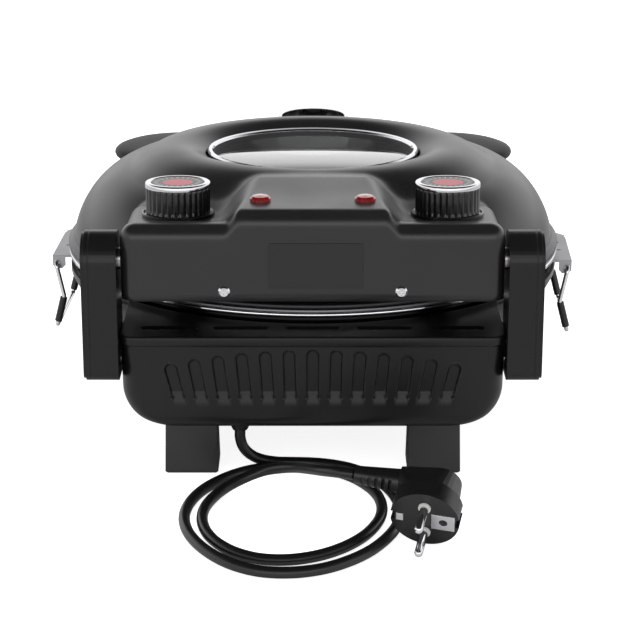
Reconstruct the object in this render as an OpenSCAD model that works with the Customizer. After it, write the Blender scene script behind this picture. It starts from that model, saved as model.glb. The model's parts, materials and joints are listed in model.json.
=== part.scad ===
// Electric pizza maker: a round oven with a hinged lid, a stone on a lift-out tray and a mains cord.
// Origin: on the table, under the middle of the oven. +Z up, -Y is the front (the user's side).
// All lengths are in millimetres.

/* [Oven and tray] */
// Outer radius of the tray's bright rim
rim_r = 163.2; // [155:0.2:175]
// Height of the middle of the rim above the table
rim_z = 95; // [90:1:110]
// Thickness of the rolled rim
bead_d = 3.4; // [2.6:0.2:4]
// Thickness of the sheet of the tray and the bowl
sheet_t = 1.2; // [0.8:0.1:1.6]
// Depth of the tray below its rim
tray_depth = 16.5; // [14:0.5:20]
// Diameter of the pizza stone
stone_d = 302; // [280:1:304]
// Thickness of the pizza stone
stone_t = 12; // [9:0.5:14]
// Depth of the heating bowl below the tray's rim
bowl_depth = 39; // [34:1:45]
// Turn of the tray in the base, degrees
tray_turn = -2; // [-6:1:6]

/* [Tray handles] */
// Length of each bracket along the rim
bracket_len = 66.6; // [56:0.2:80]
// Width of each bracket outside the bowl
bracket_w = 13.6; // [12:0.2:17]
// Drop of the bail's pivot below the bracket
pivot_drop = 5; // [4.5:0.5:7]
// Hanging length of a bail
bail_len = 43; // [36:1:46]
// Diameter of the bail wire
wire_d = 3; // [2.4:0.2:3.6]
// Diameter of the black sleeves on the wire
sleeve_d = 4.8; // [4.4:0.2:6]

/* [Base] */
// Height of the feet
foot_h = 33; // [26:1:38]
// Width of a foot
foot_w = 30.5; // [24:0.5:34]
// Depth of a foot, front to back
foot_d = 28; // [20:1:32]
// Distance of each rear foot's middle from the middle plane
foot_x = 73.2; // [64:0.2:78]
// Distance of the rear wall from the oven's axis
rear_y = 186; // [182:1:200]
// Drop of the rear deck below the tray's rim
deck_drop = 6; // [5:0.5:8]
// Wall of the base housing
base_wall = 3; // [2:0.2:4]
// Radius of the base's lower corners
base_corner = 22; // [14:1:24]
// Number of louvres in the rear wall
louvre_n = 13; // [5:2:15]
// Width of a louvre
louvre_w = 7; // [5:0.5:8]
// Number of slots in the rear deck
slot_n = 5; // [3:2:5]

/* [Hinge arms] */
// Width of the lid housing that the arms stand beside
housing_w = 226; // [220:1:230]
// Gap between the lid housing and an arm
arm_gap = 2; // [1.6:0.1:3]
// Width of an arm, its cover included
arm_w = 21; // [17:0.5:24]
// Depth of an arm, front to back
arm_d = 34; // [28:1:38]
// Thickness of an arm's outer cover
cover_t = 4.5; // [3:0.5:6]
// Height of the hinge axis above the tray's rim
hinge_rise = 38; // [36:1:42]
// Length of an arm below the hinge axis
arm_drop = 72; // [66:1:76]
// Diameter of the hinge pins
pin_d = 8; // [6:0.5:9]
// Radial clearance of turning fits
fit_gap = 0.05; // [0.02:0.01:0.08]

/* [Lid] */
// Height of the crest round the window above the tray's rim
lid_h = 68; // [64:1:76]
// Wall of the lid
lid_wall = 3; // [2.4:0.2:3.4]
// Slope of the crest and the window, degrees
lid_tilt = 2; // [0:0.5:3]
// Outer radius of the window's ring
window_r = 70; // [62:1:72]
// Width of the window's ring
window_ring_w = 4; // [3:0.5:6]
// Thickness of the window's glass
glass_t = 4; // [3:0.5:5]
// Drop of the knob pads below the raised middle of the housing
pad_drop = 14; // [11:1:16]
// Half-width of the raised middle of the housing
middle_w = 50; // [46:1:54]
// Underside of the housing above the tray's rim
housing_rise = 16; // [14:1:18]

/* [Knobs and lamps] */
// Diameter of a knob
knob_d = 39; // [34:0.5:40]
// Height of a knob
knob_h = 20.5; // [17:0.5:24]
// Number of flutes round a knob
flute_n = 24; // [16:2:30]
// Distance of each knob from the middle plane
knob_x = 81.5; // [79:0.5:84]
// Distance of the knobs behind the oven's axis
knob_y = 131; // [128:1:136]
// Tilt of the knobs towards the front, degrees
knob_tilt = 3; // [0:0.5:5]
// Diameter of a knob's shaft
shaft_d = 6; // [5:0.5:7]
// Diameter of a lamp's lens
lamp_d = 12.6; // [10:0.2:14]
// Distance of each lamp from the middle plane
lamp_x = 31; // [24:1:36]

/* [Lid handle and wings] */
// Outer radius of the handle's bow
bow_r = 26; // [22:1:32]
// Height of the bow's strap
bow_h = 13.5; // [10:0.5:18]
// Thickness of the bow's strap
bow_t = 3; // [2:0.5:4]
// Reach of the handle in front of the oven's axis
bow_reach = 187; // [184:1:200]
// Radius of a wing's lobe
wing_r = 47; // [40:1:52]
// Thickness of a wing
wing_t = 9; // [7:0.5:11]

/* [Cord and plug] */
// Diameter of the mains cord
cord_d = 6.6; // [6:0.1:7.5]
// Diameter of the plug's face
plug_d = 39; // [36:0.5:41]
// Diameter of the plug's ribbed strain relief
relief_d = 12; // [10:0.5:13]

/* [Hidden] */
$fn = 96;
side_left = -1;
side_right = 1;
seat = 0.3;        // clearance between pieces that rest on or beside each other
reach = 400;       // length of cutting tools that run out of the part
bend_r = 6;        // radius of the mouldings' small bends

// Tray and bowl
bead_r = bead_d / 2;
bead_mid_r = rim_r - bead_r;
rim_low = rim_z - bead_r;
tray_r = bead_mid_r - 7;                 // outer radius of the tray's wall
tray_floor = rim_z - tray_depth;
stone_r = min(stone_d / 2, tray_r - sheet_t - 1);
stone_z = tray_floor + sheet_t;
drum_top = rim_z - 9;
drum_r = rim_r - 1.2;                    // outer radius of the base's drum at its top
collar_r = tray_r + 2.2;                 // outer radius of the bowl's collar
bowl_floor = rim_z - bowl_depth;
bowl_floor_r = drum_r - 32;
flange_r = collar_r + 3.2;

// Heating elements
tube_r = 3.2;                            // radius of the elements' tube
lower_ring_r = 104;
lower_ring_z = (bowl_floor + sheet_t + tray_floor) / 2 + 1;
leg_r = tube_r + 0.2;                    // radius of the elements' upright ends
leg_a = 20;                              // half the gap between an element's two legs, degrees
clip_w = 9;
clip_t = 3;

// Tray handles
plate_t = 1.5;
plate_top = rim_low - 0.2;
plate_in = collar_r + 0.8;
plate_out = collar_r + 0.8 + bracket_w;
pivot_z = plate_top - pivot_drop;
pivot_x = plate_out - 2.7;
tab_w = 8.2;
tab_h = pivot_drop + 4;
hole_gap = 0.2;                          // play of the bail's ends in their holes
wire_r = wire_d / 2;
wire_bend_r = 3.2;                       // radius of the bends along the wire's middle
leg_y = bracket_len / 2 + wire_bend_r + 0.1;
bend_lap = 0.25;                         // how far a straight piece runs into the bend
bend_swell = 0.02;                       // how much thicker the wire is in its bends
kink_in = 4.5;                           // inward kink of the bail's legs
kink_drop = 22;

// Base housing
deck_z = rim_z - deck_drop;
arm_in = housing_w / 2 + arm_gap;        // distance of an arm's inner face from the middle plane
lip_w = arm_in - seat;
lip_h = 6;
box_top_w = lip_w - 1.5;
box_low_w = lip_w - 4.5;
wall_y = rear_y - 1.5;                   // rear wall under the lip
box_front = 60;
drum_low_r = drum_r - 14;
gland_x = 44;
gland_y = rear_y - 14;
gland_r = 7.2;
gland_neck_r = 5;
gland_drop = 7;                          // how far the gland stands out below the base
opening_r = 66;                          // hole for the bottom cover
louvre_pitch = 13.2;
louvre_fan = 14;                         // pitch of the louvres' upper ends
louvre_low = foot_h + 17;
louvre_high = deck_z - lip_h - 3.2;
louvre_arch = 7.6;                       // how much lower the outermost louvres end
louvre_deep = 1.8;
slot_pitch = 43;
slot_len = 32.5;
slot_w = 4.5;

// Feet
foot_taper = 0.8;
foot_y = rear_y - 6 - foot_d / 2;
front_foot_x = 60;
front_foot_y = -84;

// Hinge
hinge_z = rim_z + hinge_rise;
hinge_y = rear_y + 1 - arm_d / 2;
arm_low = hinge_z - arm_drop;
arm_body_w = arm_w - cover_t;
arm_out = arm_in + arm_w;
pin_r = pin_d / 2;
boss_r = pin_r + 4;
boss_len = 6;
shoulder_r = pin_r + 2.5;
shoulder_gap = 0.2;
screw_head_gap = 0.6;                    // room between the arm screws' heads and the leaning wall

// Lid
lid_low = rim_z + bead_r + 0.3;          // underside of the liner's flange
liner_t = 1.2;
shell_low = lid_low + liner_t + 0.2;
lid_r = rim_r + 2.3;                     // outer radius of the lid's flange
dome_r = lid_r - 3.5;
dome_low = shell_low + 10;
crest_z = rim_z + lid_h;
foot_z = crest_z - 12;                   // where the crest rises out of the dome
crest_foot_r = window_r + 30;
dome_bulge = 1.3;                        // fullness of the dome's shoulder
seat_z = -4;                             // window seat, measured in the tilted frame
hub_z = crest_z - 6;                     // origin of the tilted frame
crest_in_r = window_r + 0.5;
housing_low = rim_z + housing_rise;
housing_y = rear_y - 1;                  // rear face of the lid housing
middle_z = crest_z + 2;                  // top of the raised middle of the housing
pad_z = middle_z - pad_drop - (housing_y - knob_y) * tan(knob_tilt) + 1.2;
step_w = 12;                             // width of the step between middle and pads
housing_corner = 10;
housing_front = 62;
rear_cover_t = 2;
lamp_y = rear_y - 28;
screw_x = 52;
screw_z = housing_low + 6;
screw_r = 3.6;
liner_r = dome_r - lid_wall - 2.4;
liner_foot_r = window_r + 6;
upper_ring_r = liner_foot_r + 0.4439 * (liner_r - liner_foot_r);
liner_top = seat_z + hub_z - 12;
upper_ring_z = liner_top - 17;

// Knobs
knob_r = knob_d / 2;
collar_h = 3;
dial_r = knob_r - 3.4;
shaft_r = shaft_d / 2;
unit_r = 12.5;                           // timer and thermostat under the lid's skin
cup_h = 2;
cup_r = knob_r + 2.6;

// Handle
bow_y = -(bow_reach - bow_r);            // middle of the bow's arc
bow_low = foot_z - 19;
leg_root = dome_r - 21;                  // where the bow's legs end in their mount, before the axis
leg_end = -bow_y - leg_root;             // length of the bow's straight legs
wing_a = 36;                             // turn of a wing from the front, degrees
wing_mid = rim_r + 2.5;
wing_z = rim_z + 27;

// Plug: its face points away from the object and down, one pin above the other
plug_at = [-61.9, 291.6, 18.5];
plug_turn = [-113, -4, -13];
plug_r = plug_d / 2;
neck_depth = 26;                         // depth of the strain relief's axis behind the face
neck_at = 19;                            // where the strain relief starts, from the plug's axis
relief_len = 26;
pin_reach = 19;
plug_pin_r = 2.4;
pin_pitch = 19;
pin_collar_r = 3.5;
pin_collar_h = 1.2;

// Route of the cord, from the gland to the plug's strain relief
cord_r = cord_d / 2;
cord_sides = 8;
ROUTE = [
    [44, 172, 26], [44, 172, 20.5], [42.3, 172, 14.5], [38, 171.5, 9.3], [31.5, 171, 5.8], [22, 170.3, 3.8],
    [11, 170, 3.4], [-1, 171, 3.4], [-12, 174, 3.4], [-22.5, 179.5, 3.4], [-32, 188.5, 3.4], [-40, 201, 3.4],
    [-46.5, 217, 3.4], [-50, 235, 3.4], [-50, 253, 3.4], [-46.5, 270, 3.4], [-40, 286, 3.4],
    [-31, 301, 3.4], [-19, 314, 3.4], [-5, 323.5, 3.4], [11, 328, 3.4], [28, 326.5, 3.4],
    [43, 318, 3.4], [55, 305, 3.4], [64.5, 289, 3.4], [71, 271, 3.4], [73.5, 252, 3.4],
    [71.5, 233, 3.4], [65.5, 215, 3.4], [56, 199.5, 3.4], [44, 187, 3.4], [30, 179.5, 3.4],
    [15, 177.5, 3.4], [1, 179, 3.4], [-12, 184, 3.4], [-23, 193, 3.4], [-31.5, 205.5, 3.4],
    [-37.5, 220, 3.4], [-40, 236, 3.4], [-39, 252, 3.4], [-34.5, 268, 3.4], [-27, 283, 3.4],
    [-16.5, 296, 3.4], [-3.5, 306, 3.4], [11.5, 311.5, 3.4], [27, 311, 3.4], [40.5, 304, 3.4],
    [51, 292.5, 3.4], [58.5, 278, 3.4], [62.5, 262, 3.4], [63, 246, 3.4], [60, 231, 3.6],
    [53, 217, 5], [42.5, 208, 7.8], [30, 204, 11.5], [19, 209, 15.5], [9.5, 219, 20], [1.5, 233, 24.8],
    [-6, 246, 29], [-14.5, 254.8, 31.6], [-23.7, 258.15, 31.76]
];

// Points of a circular arc in the plane
function arc(c, r, a0, a1, n = 8) =
    [for (i = [0 : n]) let (a = a0 + (a1 - a0) * i / n) c + r * [cos(a), sin(a)]];

// Points of a soft step from z0 down to z1 between x0 and x1
function soft_step(x0, x1, z0, z1, n = 8) =
    [for (i = [0 : n]) [x0 + (x1 - x0) * i / n, z0 + (z1 - z0) * (1 - cos(180 * i / n)) / 2]];

// A section mirrored about the middle plane
function both_sides(half) =
    concat(half, [for (i = [len(half) - 1 : -1 : 0]) [-half[i][0], half[i][1]]]);

// Shoulder of the lid: a full quarter curve from (r1, z1) up and in to (r0, z0)
function shoulder(r0, z0, r1, z1, n = 9) =
    [for (i = [0 : n]) let (a = 90 * i / n)
        [r0 + (r1 - r0) * pow(cos(a), dome_bulge), z1 + (z0 - z1) * pow(sin(a), dome_bulge)]];

// A list from its end to its start
function turned(list) = [for (i = [len(list) - 1 : -1 : 0]) list[i]];

// Places ------------------------------------------------------------------------------------------

module on_tray() rotate([0, 0, tray_turn]) children();

module crest_frame() translate([0, 0, hub_z]) rotate([lid_tilt, 0, 0]) children();

module knob_frame(side) translate([side * knob_x, knob_y, pad_z]) rotate([knob_tilt, 0, 0]) children();

module plug_frame() translate(plug_at) rotate(plug_turn) children();

module hinge_frame(side) translate([0, hinge_y, hinge_z]) rotate([0, side * 90, 0]) children();

// A section drawn in X and Z, carried from y0 to y1
module along_y(y0, y1) translate([0, y1, 0]) rotate([90, 0, 0]) linear_extrude(y1 - y0) children();

// A section drawn in Y and Z, carried from x0 to x1
module along_x(x0, x1) translate([x0, 0, 0]) rotate([90, 0, 90]) linear_extrude(x1 - x0) children();

// A round rod between two points
module rod(a, b, r) {
    d = b - a;
    translate(a) rotate([0, acos(d[2] / norm(d)), atan2(d[1], d[0])]) cylinder(r = r, h = norm(d), $fn = 24);
}

// Base --------------------------------------------------------------------------------------------

module drum(inset) {
    low = foot_h + inset;
    corner = base_corner - inset;
    rotate_extrude()
        polygon(concat([[0, low]],
            arc([drum_low_r - base_corner, foot_h + base_corner], corner, -90, 0),
            [[drum_r - inset - 1.5, drum_top - 7], [drum_r - inset, drum_top - 4],
             [drum_r - inset, drum_top + (inset > 0 ? 1 : 0)], [0, drum_top + (inset > 0 ? 1 : 0)]]));
}

module rear_box(inset) {
    corner = base_corner - inset;
    top = deck_z - inset;
    lip = inset > 0 ? [] : [[lip_w, deck_z - lip_h], [lip_w, top - 1.2], [lip_w - 1.2, top]];
    half = concat(arc([box_low_w - base_corner, foot_h + base_corner], corner, -90, 0),
        [[box_top_w - inset, inset > 0 ? top : deck_z - lip_h]], lip);
    rear_lip = inset > 0 ? [] : [[rear_y, deck_z - lip_h], [rear_y, top - 1.2], [rear_y - 1.2, top]];
    intersection() {
        along_y(box_front, rear_y + 1) polygon(both_sides(half));
        along_x(-reach / 2, reach / 2)
            polygon(concat([[box_front, foot_h + inset]],
                arc([wall_y - 1 - bend_r, foot_h + bend_r], bend_r - min(inset, bend_r - 1), -90, 0),
                [[wall_y - inset, inset > 0 ? top : deck_z - lip_h]], rear_lip, [[box_front, top]]));
    }
}

// Half-width inside the rear box at a height
function box_inner(z) = box_low_w - base_wall + (box_top_w - box_low_w) * (z - foot_h - base_corner)
    / (deck_z - base_wall - foot_h - base_corner);

// One louvre: a leaning slot with round ends and a ramp at its foot
module louvre(i) {
    low_x = i * louvre_pitch;
    high_x = i * louvre_fan;
    high = louvre_high - louvre_arch * pow(2 * i / (louvre_n - 1), 2) - louvre_w / 2;
    lean = atan2(high_x - low_x, high - louvre_low);
    len = norm([high_x - low_x, high - louvre_low]);
    translate([low_x, wall_y - 0.4, louvre_low]) rotate([0, lean, 0]) {
        difference() {
            translate([0, 2, 0]) rotate([90, 0, 0]) linear_extrude(louvre_deep + 2) {
                translate([0, len]) circle(r = louvre_w / 2, $fn = 24);
                translate([-louvre_w / 2, 0]) square([louvre_w, len]);
            }
            translate([-louvre_w, -louvre_deep, 0]) rotate([38, 0, 0])
                translate([0, -9, -4]) cube([2 * louvre_w, 10, 4]);
        }
        translate([0, 2, 0]) rotate([90, 0, 0]) linear_extrude(9)
            translate([-louvre_w / 4, 8]) square([louvre_w / 2, len - 9]);
    }
}

module base_housing() color([0.1, 0.1, 0.1]) difference() {
    union() {
        drum(0);
        rear_box(0);
    }
    drum(base_wall);
    rear_box(base_wall);
    translate([0, 0, drum_top - 0.01]) cylinder(r = drum_r + seat, h = 20);
    translate([0, 0, foot_h - 1]) cylinder(r = opening_r, h = base_wall + 2);
    translate([gland_x, gland_y, foot_h - 1]) cylinder(r = gland_neck_r, h = base_wall + 2);
    for (i = [-(louvre_n - 1) / 2 : (louvre_n - 1) / 2]) louvre(i);
    for (i = [-(slot_n - 1) / 2 : (slot_n - 1) / 2])
        translate([i * slot_pitch - slot_len / 2, drum_r + 4, deck_z - base_wall - 1])
            cube([slot_len, slot_w, base_wall + 2]);
    for (side = [side_left, side_right], z = [arm_low + 10, arm_low + 21])
        translate([side * box_low_w, hinge_y, z]) rotate([0, 90, 0]) cylinder(r = 2, h = 20, center = true);
    at_cover_screws() translate([0, 0, foot_h - 1]) cylinder(r = 1.6, h = 8);
}

module at_cover_screws() for (a = [45 : 90 : 315]) rotate([0, 0, a]) translate([opening_r + 5, 0, 0]) children();

module base_bottom_cover() color([0.55, 0.56, 0.57]) difference() {
    translate([0, 0, foot_h - 1.2]) cylinder(r = opening_r + 10, h = 1.2);
    at_cover_screws() translate([0, 0, foot_h - 2]) cylinder(r = 1.7, h = 3);
    for (i = [-3 : 3]) translate([i * 14 - 3, -30, foot_h - 2]) cube([6, 60, 3]);
}

module base_screws() color("silver") at_cover_screws() {
    translate([0, 0, foot_h - 3]) cylinder(r = 3.2, h = 1.8);
    translate([0, 0, foot_h - 1.5]) cylinder(r = 1.5, h = 8);
}

module foot() {
    half = foot_w / 2;
    low = half + foot_taper;
    intersection() {
        translate([0, foot_d / 2, 0]) rotate([90, 0, 0]) linear_extrude(foot_d)
            polygon([[-low + 1.5, 0], [low - 1.5, 0], [low, 1.5], [half, foot_h], [-half, foot_h], [-low, 1.5]]);
        translate([-low, 0, 0]) rotate([90, 0, 90]) linear_extrude(2 * low)
            polygon([[-foot_d / 2 + 1.5, 0], [foot_d / 2 - 1.5, 0], [foot_d / 2, 1.5], [foot_d / 2, foot_h],
                [2 - foot_d / 2, foot_h], [-foot_d / 2, 1.5]]);
    }
}

module rear_feet() color([0.12, 0.12, 0.12])
    for (side = [side_left, side_right]) translate([side * foot_x, foot_y, 0]) foot();

module front_feet() color([0.12, 0.12, 0.12])
    for (side = [side_left, side_right]) translate([side * front_foot_x, front_foot_y, 0]) foot();

module terminal_block() color("ivory") translate([-20, drum_r - 26, foot_h + base_wall]) difference() {
    cube([40, 14, 12]);
    for (i = [0 : 3]) translate([5 + i * 10, 7, 4]) cylinder(r = 2.4, h = 9);
}

// Oven: bowl, elements, tray, stone ---------------------------------------------------------------

module chamber_bowl() color([0.06, 0.06, 0.06]) difference() {
    rotate_extrude() {
        polygon([[0, bowl_floor], [bowl_floor_r, bowl_floor], [bowl_floor_r + 10, bowl_floor + 4],
            [collar_r - 8, tray_floor - 7.5], [collar_r, tray_floor - 0.5], [collar_r, rim_low - seat],
            [collar_r - sheet_t, rim_low - seat], [collar_r - sheet_t, tray_floor],
            [collar_r - 8.6, tray_floor - 6.7], [bowl_floor_r + 9.4, bowl_floor + 5.2],
            [bowl_floor_r - 0.5, bowl_floor + sheet_t], [0, bowl_floor + sheet_t]]);
        translate([collar_r - 0.4, drum_top]) square([flange_r - collar_r + 0.4, sheet_t]);
    }
    element_legs(lower_ring_r, leg_r + 0.2, bowl_floor - 1, bowl_floor + 4);
}

// Where an element's two ends turn away from the ring
module element_legs(ring_r, r, z0, z1)
    for (side = [side_left, side_right]) rotate([0, 0, 90 + side * leg_a])
        translate([ring_r, 0, z0]) cylinder(r = r, h = z1 - z0, $fn = 32);

module element_ring(ring_r, z, r = tube_r)
    translate([0, 0, z]) rotate([0, 0, 90 + leg_a]) rotate_extrude(angle = 360 - 2 * leg_a)
        translate([ring_r, 0]) circle(r = r, $fn = 24);

module lower_element() color([0.35, 0.34, 0.33]) {
    element_ring(lower_ring_r, lower_ring_z);
    element_legs(lower_ring_r, leg_r, bowl_floor - 8, lower_ring_z + leg_r);
}

module clip_posts(ring_r, z0, z1)
    for (a = [0, 120, 240]) rotate([0, 0, a - 90])
        translate([ring_r - clip_w / 2, -clip_t / 2, z0]) cube([clip_w, clip_t, z1 - z0]);

module lower_element_clips() color("silver") difference() {
    clip_posts(lower_ring_r, bowl_floor + sheet_t, lower_ring_z);
    translate([0, 0, lower_ring_z]) rotate_extrude() translate([lower_ring_r, 0]) circle(r = tube_r + 0.15, $fn = 24);
}

module stone_tray() color([0.5, 0.5, 0.5]) on_tray() rotate_extrude()
    polygon([[0, tray_floor], [tray_r - 3, tray_floor], [tray_r, tray_floor + 3], [tray_r, rim_low],
        [bead_mid_r - 1.8, rim_low], [bead_mid_r - 1.8, rim_low + 1], [tray_r - sheet_t, rim_low + 1],
        [tray_r - sheet_t, tray_floor + 3.6], [tray_r - 3.6, tray_floor + sheet_t], [0, tray_floor + sheet_t]]);

module tray_rim() color([0.9, 0.9, 0.9]) rotate_extrude()
    translate([bead_mid_r, rim_z]) circle(r = bead_r, $fn = 32);

module pizza_stone() color([0.78, 0.68, 0.55]) rotate_extrude()
    polygon([[0, stone_z], [stone_r - 3, stone_z], [stone_r, stone_z + 3], [stone_r, stone_z + stone_t - 1.5],
        [stone_r - 1.5, stone_z + stone_t], [0, stone_z + stone_t]]);

// Bracket on the right; its plate lies under the rim and ends in two turned-down tabs
module tray_bracket(side) color([0.45, 0.45, 0.46]) on_tray() mirror([side == side_left ? 1 : 0, 0, 0]) {
    difference() {
        translate([0, 0, plate_top - plate_t]) linear_extrude(plate_t)
            polygon([[plate_in - 6, -bracket_len / 2], [plate_out - 6, -bracket_len / 2],
                [plate_out - 1.8, 4 - bracket_len / 2], [plate_out, 12 - bracket_len / 2],
                [plate_out, bracket_len / 2], [plate_in - 6, bracket_len / 2]]);
        cylinder(r = plate_in, h = reach);
        for (y = [-9, 9]) translate([plate_in + 3, y - 1, 0]) cube([5, 2, reach]);
    }
    for (end = [-1, 1]) difference() {
        translate([0, end * (bracket_len - plate_t) / 2 - plate_t / 2, 0])
            rotate([90, 0, 0]) mirror([0, 0, 1]) linear_extrude(plate_t)
                polygon([[plate_out - tab_w, plate_top - plate_t], [plate_out - tab_w, plate_top - tab_h + 2],
                    [plate_out - tab_w + 2, plate_top - tab_h], [plate_out - 2, plate_top - tab_h],
                    [plate_out, plate_top - tab_h + 2], [plate_out, plate_top - plate_t]]);
        translate([pivot_x, 0, pivot_z]) rotate([90, 0, 0])
            cylinder(r = wire_r + hole_gap, h = bracket_len + 2, center = true, $fn = 32);
    }
}

// Corner points of the bail's wire, from the hole in one tab to the hole in the other
function bail_points() = let (
        low = pivot_z - bail_len,
        kink = [pivot_x - kink_in, leg_y, pivot_z - kink_drop],
        half = [[pivot_x, leg_y - 6, pivot_z], [pivot_x, leg_y, pivot_z], kink, [pivot_x + 1, leg_y - 1.5, low]]
    ) concat(half, [for (i = [3 : -1 : 0]) [half[i][0], -half[i][1], half[i][2]]]);

// Bends of the wire: their angle, where they start before the corner, and their solid
function bend_angle(p, i) = acos(unit(p[i] - p[i - 1]) * unit(p[i + 1] - p[i]));
function bend_start(p, i) = wire_bend_r * tan(bend_angle(p, i) / 2);

module elbow(p, i) {
    d = unit(p[i] - p[i - 1]);
    n = unit(cross(d, p[i + 1] - p[i]));
    tip = acos(n[2]);
    pan = atan2(n[1], n[0]);
    spin = atan2(d * [-sin(pan), cos(pan), 0], d * [cos(tip) * cos(pan), cos(tip) * sin(pan), -sin(tip)]);
    translate(p[i] - bend_start(p, i) * d) rotate([0, tip, pan]) rotate([0, 0, spin])
        translate([0, wire_bend_r, 0]) rotate([0, 0, -90]) rotate_extrude(angle = bend_angle(p, i))
            translate([wire_bend_r, 0]) circle(r = wire_r + bend_swell, $fn = 24);
}

module bail(side) color([0.85, 0.85, 0.86]) on_tray() mirror([side == side_left ? 1 : 0, 0, 0]) {
    points = bail_points();
    last = len(points) - 1;
    for (i = [0 : last - 1]) let (d = unit(points[i + 1] - points[i]))
        rod(points[i] + (i > 0 ? bend_start(points, i) - bend_lap : 0) * d,
            points[i + 1] - (i < last - 1 ? bend_start(points, i + 1) - bend_lap : 0) * d, wire_r);
    for (i = [1 : last - 1]) elbow(points, i);
}

module bail_sleeves(side) color([0.05, 0.05, 0.05]) on_tray() mirror([side == side_left ? 1 : 0, 0, 0]) {
    points = bail_points();
    for (i = [2, 4]) let (a = points[i], b = points[i + 1], d = unit(b - a)) difference() {
        rod(a + (bend_start(points, i) + 0.4) * d, b - (bend_start(points, i + 1) + 0.4) * d, sleeve_d / 2);
        rod(a, b, wire_r + fit_gap);
    }
}

// Hinge arms --------------------------------------------------------------------------------------

function arm_outline(grow) = concat(
    arc([hinge_y, hinge_z], arm_d / 2 + grow, 0, 180, 24),
    arc([hinge_y - arm_d / 2 + bend_r, arm_low + bend_r], bend_r + grow, 180, 270, 6),
    arc([hinge_y + arm_d / 2 - bend_r, arm_low + bend_r], bend_r + grow, 270, 360, 6));

module on_side(side) mirror([side == side_left ? 1 : 0, 0, 0]) children();

module hinge_arm(side) color([0.13, 0.13, 0.13]) on_side(side) difference() {
    along_x(arm_in, arm_in + arm_body_w) polygon(arm_outline(0));
    hinge_frame(side_right) translate([0, 0, arm_in - 1]) cylinder(r = pin_r + 0.02, h = arm_body_w - 2);
    for (z = [arm_low + 10, arm_low + 21])
        translate([arm_in - 1, hinge_y, z]) rotate([0, 90, 0]) cylinder(r = 2, h = arm_body_w - 3, $fn = 32);
}

module arm_cover(side) color([0.16, 0.16, 0.16]) on_side(side) {
    along_x(arm_in + arm_body_w, arm_out - 1.5) polygon(arm_outline(0));
    along_x(arm_out - 1.5, arm_out) polygon(arm_outline(-1.2));
}

module arm_screws() color("silver")
    for (side = [side_left, side_right], z = [arm_low + 10, arm_low + 21]) on_side(side)
        translate([box_inner(z) - screw_head_gap - 2.5, hinge_y, z]) rotate([0, 90, 0]) {
            cylinder(r = 3.4, h = 2.5);
            cylinder(r = 1.8, h = arm_in + 9 - box_inner(z) + screw_head_gap + 2.5);
        }

module hinge_pin(side) color("silver") hinge_frame(side) rotate_extrude()
    polygon([[0, housing_w / 2 - lid_wall - boss_len - 0.5], [pin_r - 0.6, housing_w / 2 - lid_wall - boss_len - 0.5],
        [pin_r, housing_w / 2 - lid_wall - boss_len + 0.1], [pin_r, housing_w / 2 + shoulder_gap],
        [shoulder_r, housing_w / 2 + shoulder_gap], [shoulder_r, arm_in], [pin_r, arm_in],
        [pin_r, arm_in + arm_body_w - 3.2], [0, arm_in + arm_body_w - 3.2]]);

// Lid ---------------------------------------------------------------------------------------------

// Space under the lid's outer face, down to the height low
module dome_space(inset, low) rotate_extrude()
    polygon(concat([[0, low], [dome_r - inset, low]],
        shoulder(crest_foot_r, foot_z - inset, dome_r - inset, dome_low), [[0, foot_z - inset]]));

// Dome with its flange, in one section
module lid_dome() rotate_extrude()
    polygon(concat(
        [[dome_r - lid_wall, shell_low], [lid_r - 1.5, shell_low], [lid_r, shell_low + 2], [lid_r, shell_low + 6],
         [dome_r, dome_low]],
        shoulder(crest_foot_r, foot_z, dome_r, dome_low),
        [[crest_foot_r - 2, foot_z], [crest_foot_r - 2, foot_z - lid_wall]],
        turned(shoulder(crest_foot_r, foot_z - lid_wall, dome_r - lid_wall, dome_low))));

// Crest round the window, with the seat for the glass
module crest() crest_frame() rotate_extrude()
    polygon([[crest_foot_r + 2.5, -13], [crest_foot_r + 6.5, -13], [crest_foot_r + 3, -4], [crest_foot_r - 4, 2.6],
        [crest_foot_r - 10, 5.4], [crest_foot_r - 15, 6], [crest_foot_r - 21, 4.5], [crest_in_r, -0.5],
        [crest_in_r, seat_z], [window_r - 7, seat_z], [window_r - 7, seat_z - 3], [crest_in_r + 3, seat_z - 3],
        [crest_in_r + 3.5, -3], [crest_foot_r - 20, 1.5], [crest_foot_r - 14, 3], [crest_foot_r - 6.5, 0.2],
        [crest_foot_r - 0.5, -5.5]]);

// Lid housing at the back: one section across and one front to back
module housing_block(inset) {
    w = housing_w / 2 - inset;
    top = pad_z + (housing_y - housing_corner - knob_y) * tan(knob_tilt) - inset;
    corner = housing_corner - inset;
    low = housing_low - (inset > 0 ? 1 : 0);
    front_top = pad_z - (knob_y - housing_front - 26) * tan(knob_tilt) - inset;
    intersection() {
        along_y(housing_front, housing_y - inset)
            polygon(both_sides(concat([[w, low]], arc([w - corner, top + 1 - corner], corner, 0, 90, 3))));
        along_x(-reach / 2, reach / 2)
            polygon(concat([[housing_front + 1, low], [housing_y - inset, low]],
                arc([housing_y - housing_corner, top - corner], corner, 0, 90, 3),
                [[housing_front + 26, front_top], [housing_front + 1, front_top - 34]]));
    }
}

// Raised middle of the housing, with a soft step down to the pads on each side
module housing_middle(inset) {
    top = middle_z - inset;
    low = pad_z - 14;
    corner = housing_corner - inset;
    front = crest_foot_r - 4;
    intersection() {
        along_y(front, housing_y - inset)
            polygon(both_sides(concat([[middle_w + step_w / 2 - inset, low]],
                soft_step(middle_w + step_w / 2 - inset, middle_w - step_w / 2 - inset, pad_z - 3, top, 4))));
        along_x(-reach / 2, reach / 2)
            polygon(concat([[front, low - 1], [housing_y - inset, low - 1]],
                arc([housing_y - housing_corner, top - corner], corner, 0, 90, 3), [[front, top]]));
    }
}

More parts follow.
